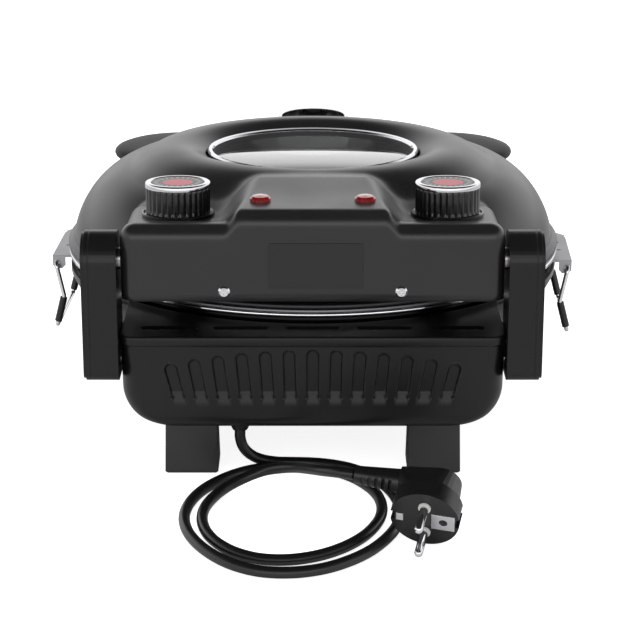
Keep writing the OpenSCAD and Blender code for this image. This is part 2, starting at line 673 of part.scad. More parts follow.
module lid_shell() color([0.16, 0.16, 0.16]) difference() {
    union() {
        lid_dome();
        crest();
        difference() {
            union() {
                housing_block(0);
                housing_middle(0);
            }
            difference() {
                union() {
                    housing_block(lid_wall);
                    housing_middle(lid_wall);
                }
                cylinder(r = dome_r + 1, h = housing_low + lid_wall);
            }
            dome_space(lid_wall / 2, shell_low);
        }
        for (side = [side_left, side_right]) hinge_frame(side)
            translate([0, 0, housing_w / 2 - lid_wall - boss_len]) cylinder(r = boss_r, h = boss_len + 1);
    }
    for (side = [side_left, side_right]) {
        hinge_frame(side) translate([0, 0, housing_w / 2 - lid_wall - boss_len - 1])
            cylinder(r = pin_r + fit_gap, h = boss_len + lid_wall + 3);
        knob_frame(side) translate([0, 0, -lid_wall - 6]) cylinder(r = shaft_r + 1, h = 20);
        translate([side * lamp_x, lamp_y, middle_z - 8]) cylinder(r = lamp_d / 2 - 1.2, h = 12);
        translate([side * screw_x, housing_y + 1, screw_z]) rotate([90, 0, 0]) cylinder(r = 2, h = 12);
    }
}

module lid_rear_cover() color([0.2, 0.2, 0.2]) difference() {
    intersection() {
        housing_block(lid_wall + seat);
        translate([-reach / 2, 0, housing_low + 0.4]) cube([reach, reach, rear_cover_t]);
    }
    cylinder(r = dome_r + 1 + seat, h = reach);
}

function liner_curve(inset) =
    shoulder(liner_foot_r, liner_top - inset, liner_r - inset, lid_low + 6);

module lid_liner() color([0.7, 0.7, 0.7]) difference() {
    union() {
        rotate_extrude() translate([liner_r - 1, lid_low]) square([rim_r - liner_r + 0.6, liner_t]);
        rotate_extrude() polygon(concat([[liner_r, lid_low]], liner_curve(0),
            [[window_r - 2, liner_top + 1.5], [window_r - 3, liner_top + 5.5], [window_r - 3 - liner_t, liner_top + 5.5],
             [window_r - 2 - liner_t, liner_top + 0.5]],
            turned(liner_curve(liner_t)), [[liner_r - liner_t, lid_low]]));
    }
    element_legs(upper_ring_r, leg_r + 0.2, rim_z + 30, crest_z);
}

module upper_element() color([0.35, 0.34, 0.33]) {
    element_ring(upper_ring_r, upper_ring_z);
    element_legs(upper_ring_r, leg_r, upper_ring_z - leg_r, upper_ring_z + 16);
}

module upper_element_clips() color("silver") difference() {
    intersection() {
        clip_posts(upper_ring_r, upper_ring_z, crest_z);
        rotate_extrude() polygon(concat([[0, lid_low]], liner_curve(liner_t + 0.1), [[0, liner_top - liner_t - 0.1]]));
    }
    translate([0, 0, upper_ring_z]) rotate_extrude() translate([upper_ring_r, 0]) circle(r = tube_r + 0.15, $fn = 24);
}

module lid_screws() color([0.85, 0.85, 0.86])
    for (side = [side_left, side_right]) translate([side * screw_x, housing_y, screw_z]) rotate([-90, 0, 0]) {
        difference() {
            rotate_extrude() polygon([[0, 0], [screw_r, 0], [screw_r, 0.7], [screw_r - 1, 1.7], [0, 2]]);
            for (a = [0, 90]) rotate([0, 0, a]) translate([-2, -0.4, 1]) cube([4, 0.8, 2]);
        }
        translate([0, 0, -9]) cylinder(r = 1.9, h = 9.1);
    }

module window_gasket() color([0.55, 0.25, 0.2]) crest_frame() rotate_extrude()
    translate([window_r - 6.5, seat_z]) square([6, 0.8]);

module window_glass() color([0.75, 0.8, 0.8, 0.35]) crest_frame()
    translate([0, 0, seat_z + 0.8]) cylinder(r = window_r - 1, h = glass_t);

module window_ring() color([0.9, 0.9, 0.9]) crest_frame() rotate_extrude()
    let (low = seat_z + 0.8 + glass_t)
        polygon([[window_r - window_ring_w, low], [window_r - 0.2, low], [window_r - 0.2, low + 0.6],
            [window_r - 1, low + 1.8], [window_r - window_ring_w + 0.8, low + 1.4]]);

module lamp_lens(side) color([0.75, 0.05, 0.05]) translate([side * lamp_x, lamp_y, middle_z]) rotate_extrude()
    polygon([[0, -7], [lamp_d / 2 - 1.5, -7], [lamp_d / 2 - 1.5, 0], [lamp_d / 2, 0], [lamp_d / 2, 1.6],
        [lamp_d / 2 - 1.6, 3], [0, 3.4]]);

// A lobe moulded to stand beside the front of the lid
module wing(side) color([0.2, 0.2, 0.2]) difference() {
    rotate([0, 0, -90 + side * wing_a]) translate([wing_mid, 0, wing_z]) rotate_extrude()
        polygon(concat([[0, 0]], arc([wing_r - 3.5, 3.5], 3.5, -90, 0), arc([wing_r - 2, wing_t - 2], 2, 0, 90), [[0, wing_t]]));
    dome_space(-0.05, shell_low + 5);
    translate([0, 0, shell_low]) cylinder(r = crest_foot_r, h = reach);
}

// Outline of the bow seen from above: a half circle and two straight legs
module bow_outline(r, run) intersection() {
    union() {
        circle(r = r);
        translate([-r, 0]) square([2 * r, run]);
    }
    translate([-r, -r]) square([2 * r, r + run]);
}

module lid_handle() color([0.9, 0.9, 0.9]) translate([0, bow_y, bow_low]) linear_extrude(bow_h) difference() {
    bow_outline(bow_r, leg_end);
    bow_outline(bow_r - bow_t, leg_end + 1);
}

module handle_mount() color([0.1, 0.1, 0.1]) difference() {
    translate([0, -leg_root - 6, bow_low - 4]) {
        translate([-bow_r - 3, 0, 0]) cube([2 * bow_r + 6, 30, bow_h + 4]);
        for (side = [side_left, side_right]) translate([side * (bow_r - bow_t / 2), 0, 0])
            cylinder(r = 4.5 + bow_t / 2, h = bow_h + 4);
    }
    dome_space(-0.05, shell_low + 5);
    translate([0, 0, shell_low]) cylinder(r = crest_foot_r, h = reach);
    for (side = [side_left, side_right])
        translate([side * (bow_r - bow_t / 2) - bow_t / 2, bow_y - 1, bow_low]) cube([bow_t, leg_end + 1, bow_h]);
}

// Controls ----------------------------------------------------------------------------------------

module knob_cups() color([0.12, 0.12, 0.12]) for (side = [side_left, side_right]) knob_frame(side)
    rotate_extrude() polygon([[knob_r - 5, 0], [cup_r, 0], [cup_r, cup_h], [cup_r - 1, cup_h], [knob_r + 0.6, 0.9],
        [knob_r - 5, 0.9]]);

module control_unit(side) difference() {
    knob_frame(side) difference() {
        union() {
            translate([0, 0, -lid_wall - seat - 12]) cylinder(r = unit_r, h = 12);
            translate([-13, 5, -lid_wall - seat - 20]) cube([26, 19, 9]);
        }
        translate([0, 0, -lid_wall - 8]) cylinder(r = shaft_r + fit_gap, h = 10, $fn = 48);
    }
    dome_space(-seat, shell_low);
}

module control_shaft(side) color("silver") knob_frame(side)
    translate([0, 0, -lid_wall - 7.5]) cylinder(r = shaft_r, h = lid_wall + 7.5 + knob_h - collar_h - 4, $fn = 48);

module control_knob(side) color([0.06, 0.06, 0.06]) knob_frame(side) difference() {
    rotate_extrude() polygon([[0, 4], [knob_r - 3, 4], [knob_r - 3, 1.4], [knob_r, 1.4],
        [knob_r, knob_h - collar_h], [0, knob_h - collar_h]]);
    cylinder(r = shaft_r + 0.02, h = knob_h - collar_h - 3.6, $fn = 48);
    for (i = [0 : flute_n - 1]) rotate([0, 0, 360 * i / flute_n])
        translate([knob_r + 0.9, 0, 0]) cylinder(r = 1.6, h = knob_h - collar_h - 1, $fn = 16);
}

module control_collar(side) color([0.92, 0.92, 0.92]) knob_frame(side) rotate_extrude()
    polygon([[dial_r, knob_h - collar_h], [knob_r + 0.3, knob_h - collar_h], [knob_r + 0.3, knob_h - 0.8],
        [knob_r - 0.6, knob_h], [dial_r, knob_h]]);

module control_dial(side) color([0.75, 0.45, 0.45]) knob_frame(side) translate([0, 0, knob_h - collar_h])
    cylinder(r = dial_r - 0.05, h = collar_h - 0.4);

// Cord and plug -----------------------------------------------------------------------------------

module cord_gland() color([0.07, 0.07, 0.07]) translate([gland_x, gland_y, foot_h]) rotate_extrude()
    polygon([[cord_r, -gland_drop], [cord_r + 1.2, -gland_drop], [gland_r, -1.4], [gland_r, 0],
        [gland_neck_r - 0.02, 0], [gland_neck_r - 0.02, 15], [cord_r, 15]]);

function unit(v) = v / norm(v);
function heading(p, i) = unit(p[min(i + 1, len(p) - 1)] - p[max(i - 1, 0)]);
function square_to(u, t) = unit(u - (u * t) * t);

// A round tube along a route; its cross direction is carried on from ring to ring
module tube(route, r, sides) {
    n = len(route);
    cross_dirs = [for (i = 0, u = square_to([1, 0, 0], heading(route, 0)); i < n;
        i = i + 1, u = square_to(u, heading(route, min(i, n - 1)))) u];
    rings = [for (i = [0 : n - 1]) let (t = heading(route, i), u = cross_dirs[i], v = cross(t, u))
        for (k = [0 : sides - 1]) route[i] + r * (cos(360 * k / sides) * u + sin(360 * k / sides) * v)];
    walls = [for (i = [0 : n - 2], k = [0 : sides - 1]) let (k2 = (k + 1) % sides)
        each [[i * sides + k, (i + 1) * sides + k, i * sides + k2],
              [i * sides + k2, (i + 1) * sides + k, (i + 1) * sides + k2]]];
    ends = [[for (k = [0 : sides - 1]) k], [for (k = [sides - 1 : -1 : 0]) (n - 1) * sides + k]];
    polyhedron(points = rings, faces = concat(walls, ends));
}

// Least gap between two stretches of the cord that lie more than a loop's eighth apart
function least_gap(p, skip = 6) = min([for (i = [0 : len(p) - 2], j = [i + skip : 1 : len(p) - 2])
    let (a = p[i], b = p[j], d = p[j + 1] - b, t = max(0, min(1, (a - b) * d / (d * d)))) norm(a - b - t * d)]) - cord_d;
function route_length(p) = [for (i = [1 : len(p) - 1]) norm(p[i] - p[i - 1])] * [for (i = [1 : len(p) - 1]) 1];

module power_cord() color([0.05, 0.05, 0.05]) {
    echo(cord_length = route_length(ROUTE), cord_gap = least_gap(ROUTE));
    tube(ROUTE, cord_r, cord_sides);
}

module plug_relief() color([0.05, 0.05, 0.05]) plug_frame() translate([neck_at, 0, -neck_depth]) rotate([0, 90, 0])
    difference() {
        cylinder(r1 = relief_d / 2 + 1, r2 = relief_d / 2 - 1, h = relief_len, $fn = 48);
        for (i = [0 : 4], turn = [0, 180]) rotate([0, 0, turn])
            translate([relief_d / 2 - 1.6, -relief_d / 2 + 1.5, 4 + i * 4]) cube([4, relief_d - 3, 1.8]);
    }

module plug_body() color([0.06, 0.06, 0.06]) plug_frame() {
    difference() {
        translate([0, 0, -12]) cylinder(r = plug_r, h = 12);
        for (end = [-1, 1]) translate([end * plug_r - 2.4, -3, -13]) cube([4.8, 6, 14]);
        for (y = [-1, 1]) translate([-plug_r, y * (plug_r + 6) - 7.6, -13]) cube([2 * plug_r, 15.2, 10.5]);
    }
    hull() {
        translate([0, 0, -12]) cylinder(r = plug_r - 2.6, h = 2, $fn = 32);
        translate([-4, 0, -30]) cylinder(r = plug_r - 8, h = 4, $fn = 32);
        translate([neck_at - 3, 0, -neck_depth]) rotate([0, 90, 0]) cylinder(r = relief_d / 2 + 2.5, h = 3, $fn = 32);
    }
    hull() for (x = [-6, 14]) translate([x, 0, -36]) cylinder(r = 3, h = 9, $fn = 24);
}

module plug_pins() color([0.9, 0.9, 0.9]) plug_frame() for (end = [-1, 1]) translate([0, end * pin_pitch / 2, 0]) {
    cylinder(r = plug_pin_r, h = pin_reach - plug_pin_r, $fn = 32);
    translate([0, 0, pin_reach - plug_pin_r]) sphere(r = plug_pin_r, $fn = 32);
}

module plug_pin_collars() color("white") plug_frame() for (end = [-1, 1]) translate([0, end * pin_pitch / 2, 0])
    difference() {
        cylinder(r = pin_collar_r, h = pin_collar_h, $fn = 48);
        translate([0, 0, -1]) cylinder(r = plug_pin_r + 0.02, h = pin_collar_h + 2, $fn = 32);
    }

module plug_earth_contacts() color([0.85, 0.85, 0.86]) plug_frame() {
    difference() {
        translate([-plug_r + 2.6, -5.5, 0]) cube([13, 11, 0.8]);
        translate([-plug_r + 9, 0, -1]) cylinder(r = 2.4, h = 3, $fn = 32);
    }
    translate([plug_r - 7.5, -2.6, 0]) cube([4, 5.2, 0.8]);
}

base_housing();
base_bottom_cover();
base_screws();
front_feet();
rear_feet();
chamber_bowl();
lower_element();
lower_element_clips();
terminal_block();
stone_tray();
tray_rim();
pizza_stone();
tray_bracket(side_left);  // tray_bracket_left
tray_bracket(side_right);  // tray_bracket_right
bail(side_left);  // bail_left
bail(side_right);  // bail_right
bail_sleeves(side_left);  // bail_sleeves_left
bail_sleeves(side_right);  // bail_sleeves_right
hinge_arm(side_left);  // hinge_arm_left
hinge_arm(side_right);  // hinge_arm_right
arm_cover(side_left);  // arm_cover_left
arm_cover(side_right);  // arm_cover_right
arm_screws();
hinge_pin(side_left);  // hinge_pin_left
hinge_pin(side_right);  // hinge_pin_right
lid_shell();
lid_liner();
upper_element();
upper_element_clips();
lid_rear_cover();
lid_screws();
window_gasket();
window_glass();
window_ring();
lamp_lens(side_left);  // lamp_lens_left
lamp_lens(side_right);  // lamp_lens_right
wing(side_left);  // wing_left
wing(side_right);  // wing_right
lid_handle();
handle_mount();
knob_cups();
color("white") control_unit(side_left);  // timer_unit
control_shaft(side_left);  // timer_shaft
control_knob(side_left);  // timer_knob
control_collar(side_left);  // timer_collar
control_dial(side_left);  // timer_dial
color("ivory") control_unit(side_right);  // thermostat_unit
control_shaft(side_right);  // thermostat_shaft
control_knob(side_right);  // thermostat_knob
control_collar(side_right);  // thermostat_collar
control_dial(side_right);  // thermostat_dial
cord_gland();
power_cord();
plug_relief();
plug_body();
plug_pin_collars();
plug_pins();
plug_earth_contacts();
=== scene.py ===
import json
import math

import bpy
import numpy as np
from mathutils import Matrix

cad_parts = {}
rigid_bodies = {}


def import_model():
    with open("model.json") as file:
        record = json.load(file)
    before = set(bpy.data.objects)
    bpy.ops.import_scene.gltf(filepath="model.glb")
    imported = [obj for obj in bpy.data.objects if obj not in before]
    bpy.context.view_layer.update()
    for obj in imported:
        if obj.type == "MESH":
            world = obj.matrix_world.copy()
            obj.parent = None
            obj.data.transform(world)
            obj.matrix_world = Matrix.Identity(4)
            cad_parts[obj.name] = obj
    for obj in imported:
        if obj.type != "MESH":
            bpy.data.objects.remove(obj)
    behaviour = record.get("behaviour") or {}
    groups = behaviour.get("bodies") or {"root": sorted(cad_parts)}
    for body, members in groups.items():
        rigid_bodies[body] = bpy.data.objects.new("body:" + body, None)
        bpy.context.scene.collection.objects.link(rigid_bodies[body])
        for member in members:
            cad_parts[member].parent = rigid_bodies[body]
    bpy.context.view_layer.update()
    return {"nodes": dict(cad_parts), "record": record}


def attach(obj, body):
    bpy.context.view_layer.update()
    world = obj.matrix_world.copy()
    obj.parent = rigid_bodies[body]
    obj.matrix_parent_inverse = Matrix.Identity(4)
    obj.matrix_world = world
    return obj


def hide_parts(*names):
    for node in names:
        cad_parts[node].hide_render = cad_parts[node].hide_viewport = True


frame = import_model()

bl_info = {
    "name": "Countertop pizza maker",
    "version": (1, 0, 0),
    "blender": (4, 5, 0),
    "location": "3D View > Sidebar > Pizza maker",
    "description": "Builds and finishes a countertop pizza maker with a hinged lid, knobs, tray and mains cord",
    "category": "Object",
}

MM = 0.001
WINDOW_LEAN = math.radians(2)  # Slope of the crest and its window, which rise to the rear
PAD_SLOPE, KNOB_BACK = math.radians(3), 0.131  # Slope of the knob pads, and how far back the knobs' middles are
SHOULDER_OUT, SHOULDER_UP = 0.9, 1.3  # Bulge of the dome's shoulder, outwards and upwards: 1 would be an ellipse
CAMERA_PLACE = (-0.00135, 1.36035, 0.48454)  # Behind the oven, in metres
CAMERA_TURN = (math.radians(72), 0, math.radians(180))  # Looking to the front, and down by 18 degrees

# Centre line of the mains cord, in millimetres, from the gland to the plug. COIL is the stretch on the table
COIL = [
    (11, 170), (-1, 171), (-12, 174), (-22.5, 179.5), (-32, 188.5), (-40, 201), (-46.5, 217), (-50, 235),
    (-50, 253), (-46.5, 270), (-40, 286), (-31, 301), (-19, 314), (-5, 323.5), (11, 328), (28, 326.5),
    (43, 318), (55, 305), (64.5, 289), (71, 271), (73.5, 252), (71.5, 233), (65.5, 215), (56, 199.5),
    (44, 187), (30, 179.5), (15, 177.5), (1, 179), (-12, 184), (-23, 193), (-31.5, 205.5), (-37.5, 220),
    (-40, 236), (-39, 252), (-34.5, 268), (-27, 283), (-16.5, 296), (-3.5, 306), (11.5, 311.5), (27, 311),
    (40.5, 304), (51, 292.5), (58.5, 278), (62.5, 262), (63, 246),
]
ROUTE = [
    (44, 172, 26), (44, 172, 20.5), (42.3, 172, 14.5), (38, 171.5, 9.3), (31.5, 171, 5.8), (22, 170.3, 3.8),
    *((x, y, 3.4) for x, y in COIL),
    (60, 231, 3.6), (53, 217, 5), (42.5, 208, 7.8), (30, 204, 11.5), (19, 209, 15.5), (9.5, 219, 20),
    (1.5, 233, 24.8), (-6, 246, 29), (-14.5, 254.8, 31.6), (-23.7, 258.15, 31.76),
]


# Sizes and colours a user would change ------------------------------------------------------------


def length(name, default, description, low=0.0, high=1.0):
    """A size in metres, shown in the scene's length unit."""
    return bpy.props.FloatProperty(
        name=name, description=description, default=default, min=low, max=high, subtype="DISTANCE", unit="LENGTH"
    )


def count(name, default, description, low, high):
    """A whole number."""
    return bpy.props.IntProperty(name=name, description=description, default=default, min=low, max=high)


def brightness(name, default, description, high=5.0):
    """How strong a light is, or how bright a reflection of it is."""
    return bpy.props.FloatProperty(name=name, description=description, default=default, min=0.0, max=high)


def shade(name, default, description):
    """A colour, written as the red, green and blue of a paint swatch from 0 to 1."""
    return bpy.props.FloatVectorProperty(
        name=name, description=description, default=default, min=0.0, max=1.0, size=3, subtype="COLOR_GAMMA"
    )


class LidSizes(bpy.types.PropertyGroup):
    """Sizes of the lid's outer skin."""

    dome_radius: length("Dome radius", 0.159, "Radius of the dome where it meets its flange")
    flange_radius: length("Flange radius", 0.1632, "Outer radius of the flange that rests on the base")
    foot_radius: length("Dome top", 0.110, "Radius at which the dome's level top turns into its shoulder")
    foot_height: length("Dome height", 0.151, "Height of the dome's level top, where the crest rises")
    dome_low: length("Dome edge height", 0.104, "Height of the dome's lower edge")
    window_radius: length("Window opening", 0.0705, "Radius of the opening the glass sits in")
    crest_hub: length("Crest height", 0.157, "Height of the middle of the tilted crest")
    half_width: length("Housing half width", 0.113, "Half the width of the rear housing")
    rear: length("Housing rear", 0.185, "Distance of the housing's rear face from the middle of the lid")
    housing_low: length("Housing lower edge", 0.111, "Height of the rear housing's lower edge")
    pad_height: length("Knob pad height", 0.14937, "Height of the knob pads under the knobs' middles")
    middle_height: length("Middle height", 0.165, "Height of the raised middle of the housing")
    corner: length("Corner radius", 0.0105, "Rounding of the housing's upper edges")
    softness: length("Softness", 0.014, "How wide the moulded shapes blend into each other")
    skin: length("Skin thickness", 0.0014, "Thickness of the moulded skin")


class BaseSizes(bpy.types.PropertyGroup):
    """Sizes of the base housing: a round drum and the box behind it."""

    drum_radius: length("Drum radius", 0.162, "Radius of the drum at its top")
    drum_low: length("Drum low radius", 0.148, "Radius of the drum above its lower corner")
    drum_top: length("Drum top", 0.086, "Height of the drum's upper edge")
    low: length("Lower face", 0.033, "Height of the drum's lower face")
    drum_corner: length("Drum corner", 0.022, "Rounding of the drum's lower corner")
    lip_width: length("Lip half width", 0.1147, "Half the width of the box over its lip")
    lip_rear: length("Lip rear", 0.186, "Distance of the lip's rear face from the middle of the oven")
    deck: length("Deck height", 0.089, "Height of the rear deck")
    lip: length("Lip height", 0.0056, "Height of the lip round the deck")
    box_low: length("Box lower face", 0.0298, "Height of the box's lower face")
    side_corner: length("Side corner", 0.025, "Rounding of the box's lower side corners")
    rear_corner: length("Rear corner", 0.009, "Rounding of the box's lower rear edge")
    upright_corner: length("Upright corner", 0.015, "Rounding of the box's two upright corners")
    louvre_depth: length("Louvre depth", 0.0019, "Depth of the louvres drawn into the rear wall")
    louvres: count("Louvres", 13, "Number of louvres, an odd one", 3, 15)


class KnobSizes(bpy.types.PropertyGroup):
    """Sizes of the two control knobs."""

    across: length("Distance from the middle", 0.0815, "Distance of a knob's axis from the middle plane")
    back: length("Distance to the rear", KNOB_BACK, "Distance of a knob's axis behind the middle of the lid")
    radius: length("Radius", 0.0195, "Radius of a knob over its flutes")
    height: length("Height", 0.0175, "Height of the fluted part above the pad")
    flute_depth: length("Flute depth", 0.0009, "Depth of a flute")
    flutes: count("Flutes", 30, "Number of flutes round a knob", 8, 60)
    tilt: bpy.props.FloatProperty(
        name="Tilt", description="Slope of the knob pads", default=PAD_SLOPE, subtype="ANGLE", unit="ROTATION"
    )


class CordSizes(bpy.types.PropertyGroup):
    """Sizes of the mains cord."""

    diameter: length("Diameter", 0.0066, "Diameter of the cord")
    steps: count("Steps", 7, "Rings between two route points", 2, 20)
    sides: count("Sides", 20, "Sides of the cord's round section", 8, 48)


class FinishColours(bpy.types.PropertyGroup):
    """Colours of the moulded, painted and plated finishes."""

    lid: shade("Lid", (0.105, 0.105, 0.108), "Matte dark grey of the lid")
    housing: shade("Base", (0.06, 0.06, 0.062), "Moulded black of the base")
    arm: shade("Arms", (0.07, 0.07, 0.073), "Moulded black of the hinge arms and the two wings")
    foot: shade("Feet", (0.15, 0.15, 0.153), "Dark grey of the feet")
    plate: shade("Plate", (0.055, 0.055, 0.057), "Dark blank plate on the lid's rear face")
    knob: shade("Knobs", (0.05, 0.05, 0.053), "Black of the knobs")
    bowl: shade("Bowl", (0.035, 0.035, 0.037), "Glossy black of the chamber bowl")
    cord: shade("Cord", (0.06, 0.06, 0.063), "Black of the cord and plug")
    dial: shade("Dial", (0.68, 0.27, 0.31), "Red of the dial's centre")
    lamp: shade("Lamps", (0.62, 0.02, 0.03), "Red of the lamp lenses")
    stone: shade("Stone", (0.74, 0.65, 0.53), "Sand colour of the baking stone")
    glass: shade("Glass", (0.90, 0.93, 0.93), "Tint of the window glass")


class StageLook(bpy.types.PropertyGroup):
    """Camera and light of the stage."""

    lens: bpy.props.FloatProperty(
        name="Lens", description="Focal length", default=120.0, min=10.0, max=300.0, unit="CAMERA"
    )
    key: brightness("Top light", 13.0, "Power of the light overhead, in watts", 500.0)
    room: brightness("Room light", 0.62, "Strength of the room's light")
    horizon: brightness("Horizon in gloss", 1.25, "How bright the horizon is in glossy faces")
    softbox: brightness("Low light in gloss", 1.2, "Extra brightness of a low rear light in glossy faces", 10.0)
    overhead: brightness("Overhead in gloss", 0.03, "How bright the ceiling is in glossy faces")


# Surfaces -----------------------------------------------------------------------------------------


def mm(*lengths):
    """Lengths in metres as millimetres."""
    return [v / MM for v in lengths]


def grid_faces(rows, cols, round_rows=False, round_cols=False):
    """Faces between neighbouring points of a grid: (row, col), (row, col + 1), (row + 1, col + 1), (row + 1, col)."""
    i = np.arange(rows if round_rows else rows - 1)[:, None]
    j = np.arange(cols if round_cols else cols - 1)[None, :]
    k, m = (i + 1) % rows, (j + 1) % cols
    return np.stack([i * cols + j + 0 * k, i * cols + m, k * cols + m, k * cols + j], -1).reshape(-1, 4)


def afresh(store, name, *content):
    """A new block of data, in place of any old one of that name."""
    if name in store:
        store.remove(store[name])
    return store.new(name, *content)


def make_mesh(name, points, faces, sharp=None):
    """A smooth shaded object at the origin from points and faces in metres, with hard edges over the angle sharp."""
    mesh = bpy.data.meshes.new(name)
    mesh.from_pydata(points.tolist(), [], faces)
    mesh.validate()
    mesh.shade_smooth()
    if sharp is not None:
        mesh.set_sharp_from_angle(angle=math.radians(sharp))
    piece = afresh(bpy.data.objects, name, mesh)
    bpy.context.scene.collection.objects.link(piece)
    return piece


def surface(name, grid, round_rows=False, round_cols=False, ends=False, flip=False, sharp=None):
    """The surface through a grid of points.

    Its rows or columns may close on themselves, and ends puts a face over the first and the last row.
    """
    rows, cols = grid.shape[:2]
    faces = grid_faces(rows, cols, round_rows, round_cols).tolist()
    if ends:
        faces += [list(range(cols))[::-1], list(range((rows - 1) * cols, rows * cols))]
    if flip:
        faces = [f[::-1] for f in faces]
    return make_mesh(name, grid.reshape(-1, 3), faces, sharp)


def turned(profile, around):
    """A profile of (radius, height) points carried round the vertical axis: x = r cos a, y = r sin a."""
    profile = np.asarray(profile, float)
    a = np.linspace(0, 2 * math.pi, around, endpoint=False)[None, :]
    r, z = profile[:, :1], profile[:, 1:]
    return np.stack([r * np.cos(a), r * np.sin(a), z + 0 * a], -1)


def soft_max(a, b, width):
    """The higher of two heights, with a fillet where they are closer than width.

    It is max + (width - |a - b|)^2 / (4 width).
    """
    return np.maximum(a, b) + np.maximum(width - np.abs(a - b), 0) ** 2 / (4 * width)


def soft_step(x):
    """Goes from 0 to 1 as x does, with level ends: 3 x^2 - 2 x^3."""
    x = np.clip(x, 0, 1)
    return x * x * (3 - 2 * x)


def smooth_line(points, steps):
    """A curve through the points, steps spans between each two (Catmull-Rom).

    Its heading at a point is the one from the point before to the point after.
    """
    p = np.asarray(points, float)
    p = np.vstack([2 * p[0] - p[1], p, 2 * p[-1] - p[-2]])
    t = np.linspace(0, 1, steps, endpoint=False)[None, :, None]
    a, b, c, d = (p[i : len(p) - 3 + i][:, None] for i in range(4))
    curve = 0.5 * (2 * b + (c - a) * t + (2 * a - 5 * b + 4 * c - d) * t**2 + (3 * b - a - 3 * c + d) * t**3)
    return np.vstack([curve.reshape(-1, p.shape[1]), p[-2]])


def put(points, turn, at):
    """Points turned by a 3 x 3 matrix and moved to a place."""
    return points @ turn.T + at


def about_x(angle):
    """Turn about the X axis."""
    c, s = math.cos(angle), math.sin(angle)
    return np.array([[1, 0, 0], [0, c, -s], [0, s, c]])


def dome_height(r, s):
    """Height of the dome at a radius, in millimetres.

    Its shoulder is level at the top and upright at the edge. With t and h going from 0 to 1 outwards and upwards,
    t^(2 / out) + h^(2 / up) = 1.
    """
    foot, edge, top, low = mm(s.foot_radius, s.dome_radius, s.foot_height, s.dome_low)
    t = np.clip((r - foot) / (edge - foot), 0, 1)
    return low + (top - low) * (1 - t ** (2 / SHOULDER_OUT)) ** (SHOULDER_UP / 2)


def dome_reach(z, s):
    """Radius of the dome's shoulder at a height, in millimetres: the same curve the other way round."""
    foot, edge, top, low = mm(s.foot_radius, s.dome_radius, s.foot_height, s.dome_low)
    h = np.clip((z - low) / (top - low), 0, 1)
    return foot + (edge - foot) * (1 - h ** (2 / SHOULDER_UP)) ** (SHOULDER_OUT / 2)


# Finishes -----------------------------------------------------------------------------------------


def paint(swatch, share=1.0):
    """A swatch colour from 0 to 1 as the light it reflects, or a share of it: the usual screen curve taken off."""
    c = np.asarray(swatch, float)[:3]
    light = np.where(c <= 0.04045, c / 12.92, ((c + 0.055) / 1.055) ** 2.4)
    return tuple(np.minimum(light * share, 1)) + (1.0,)


class Value:
    """A value that varies over a surface or with a ray. Sums with it add Math nodes."""

    def __init__(self, nodes, socket):
        self.nodes, self.socket = nodes, socket

    def sum(self, operation, *terms):
        return self.nodes.node("ShaderNodeMath", {"operation": operation}, terms)

    def __add__(self, other):
        return self.sum("ADD", self, other)

    def __sub__(self, other):
        return self.sum("SUBTRACT", self, other)

    def __rsub__(self, other):
        return self.sum("SUBTRACT", other, self)

    def __mul__(self, other):
        return self.sum("MULTIPLY", self, other)

    def __pow__(self, other):
        return self.sum("POWER", self, other)

    def over(self, other):
        """1 where it is greater than the other, else 0."""
        return self.sum("GREATER_THAN", self, other)

    __radd__, __rmul__ = __add__, __mul__


class Nodes:
    """The nodes of a finish or of the room's light."""

    def __init__(self, tree):
        self.tree = tree

    def feed(self, socket, value):
        """Links a value to a socket, or sets the socket to a number or a colour."""
        if isinstance(value, Value):
            self.tree.links.new(value.socket, socket)
        else:
            socket.default_value = value

    def node(self, kind, settings=None, inputs=(), out=0):
        """Adds a node: its settings first, then what its sockets are fed, by number or by name."""
        node = self.tree.nodes.new(kind)
        for key, value in (settings or {}).items():
            setattr(node, key, value)
        for key, value in inputs.items() if isinstance(inputs, dict) else enumerate(inputs):
            self.feed(node.inputs[key], value)
        return Value(self, node.outputs[out])

    def parts(self, vector):
        """The X, Y and Z of a vector."""
        first = self.node("ShaderNodeSeparateXYZ", None, [vector])
        return [Value(self, s) for s in first.socket.node.outputs]

    def rays(self, *kinds):
        """For each kind of ray: 1 for a ray of that kind, else 0."""
        path = self.node("ShaderNodeLightPath").socket.node.outputs
        return [Value(self, path[f"Is {kind} Ray"]) for kind in kinds]

    def spread(self, value, low, high, start=0.3, end=0.7, kind="LINEAR"):
        """The value's stretch from start to end, spread over low to high."""
        return self.node("ShaderNodeMapRange", {"interpolation_type": kind}, [value, start, end, low, high])


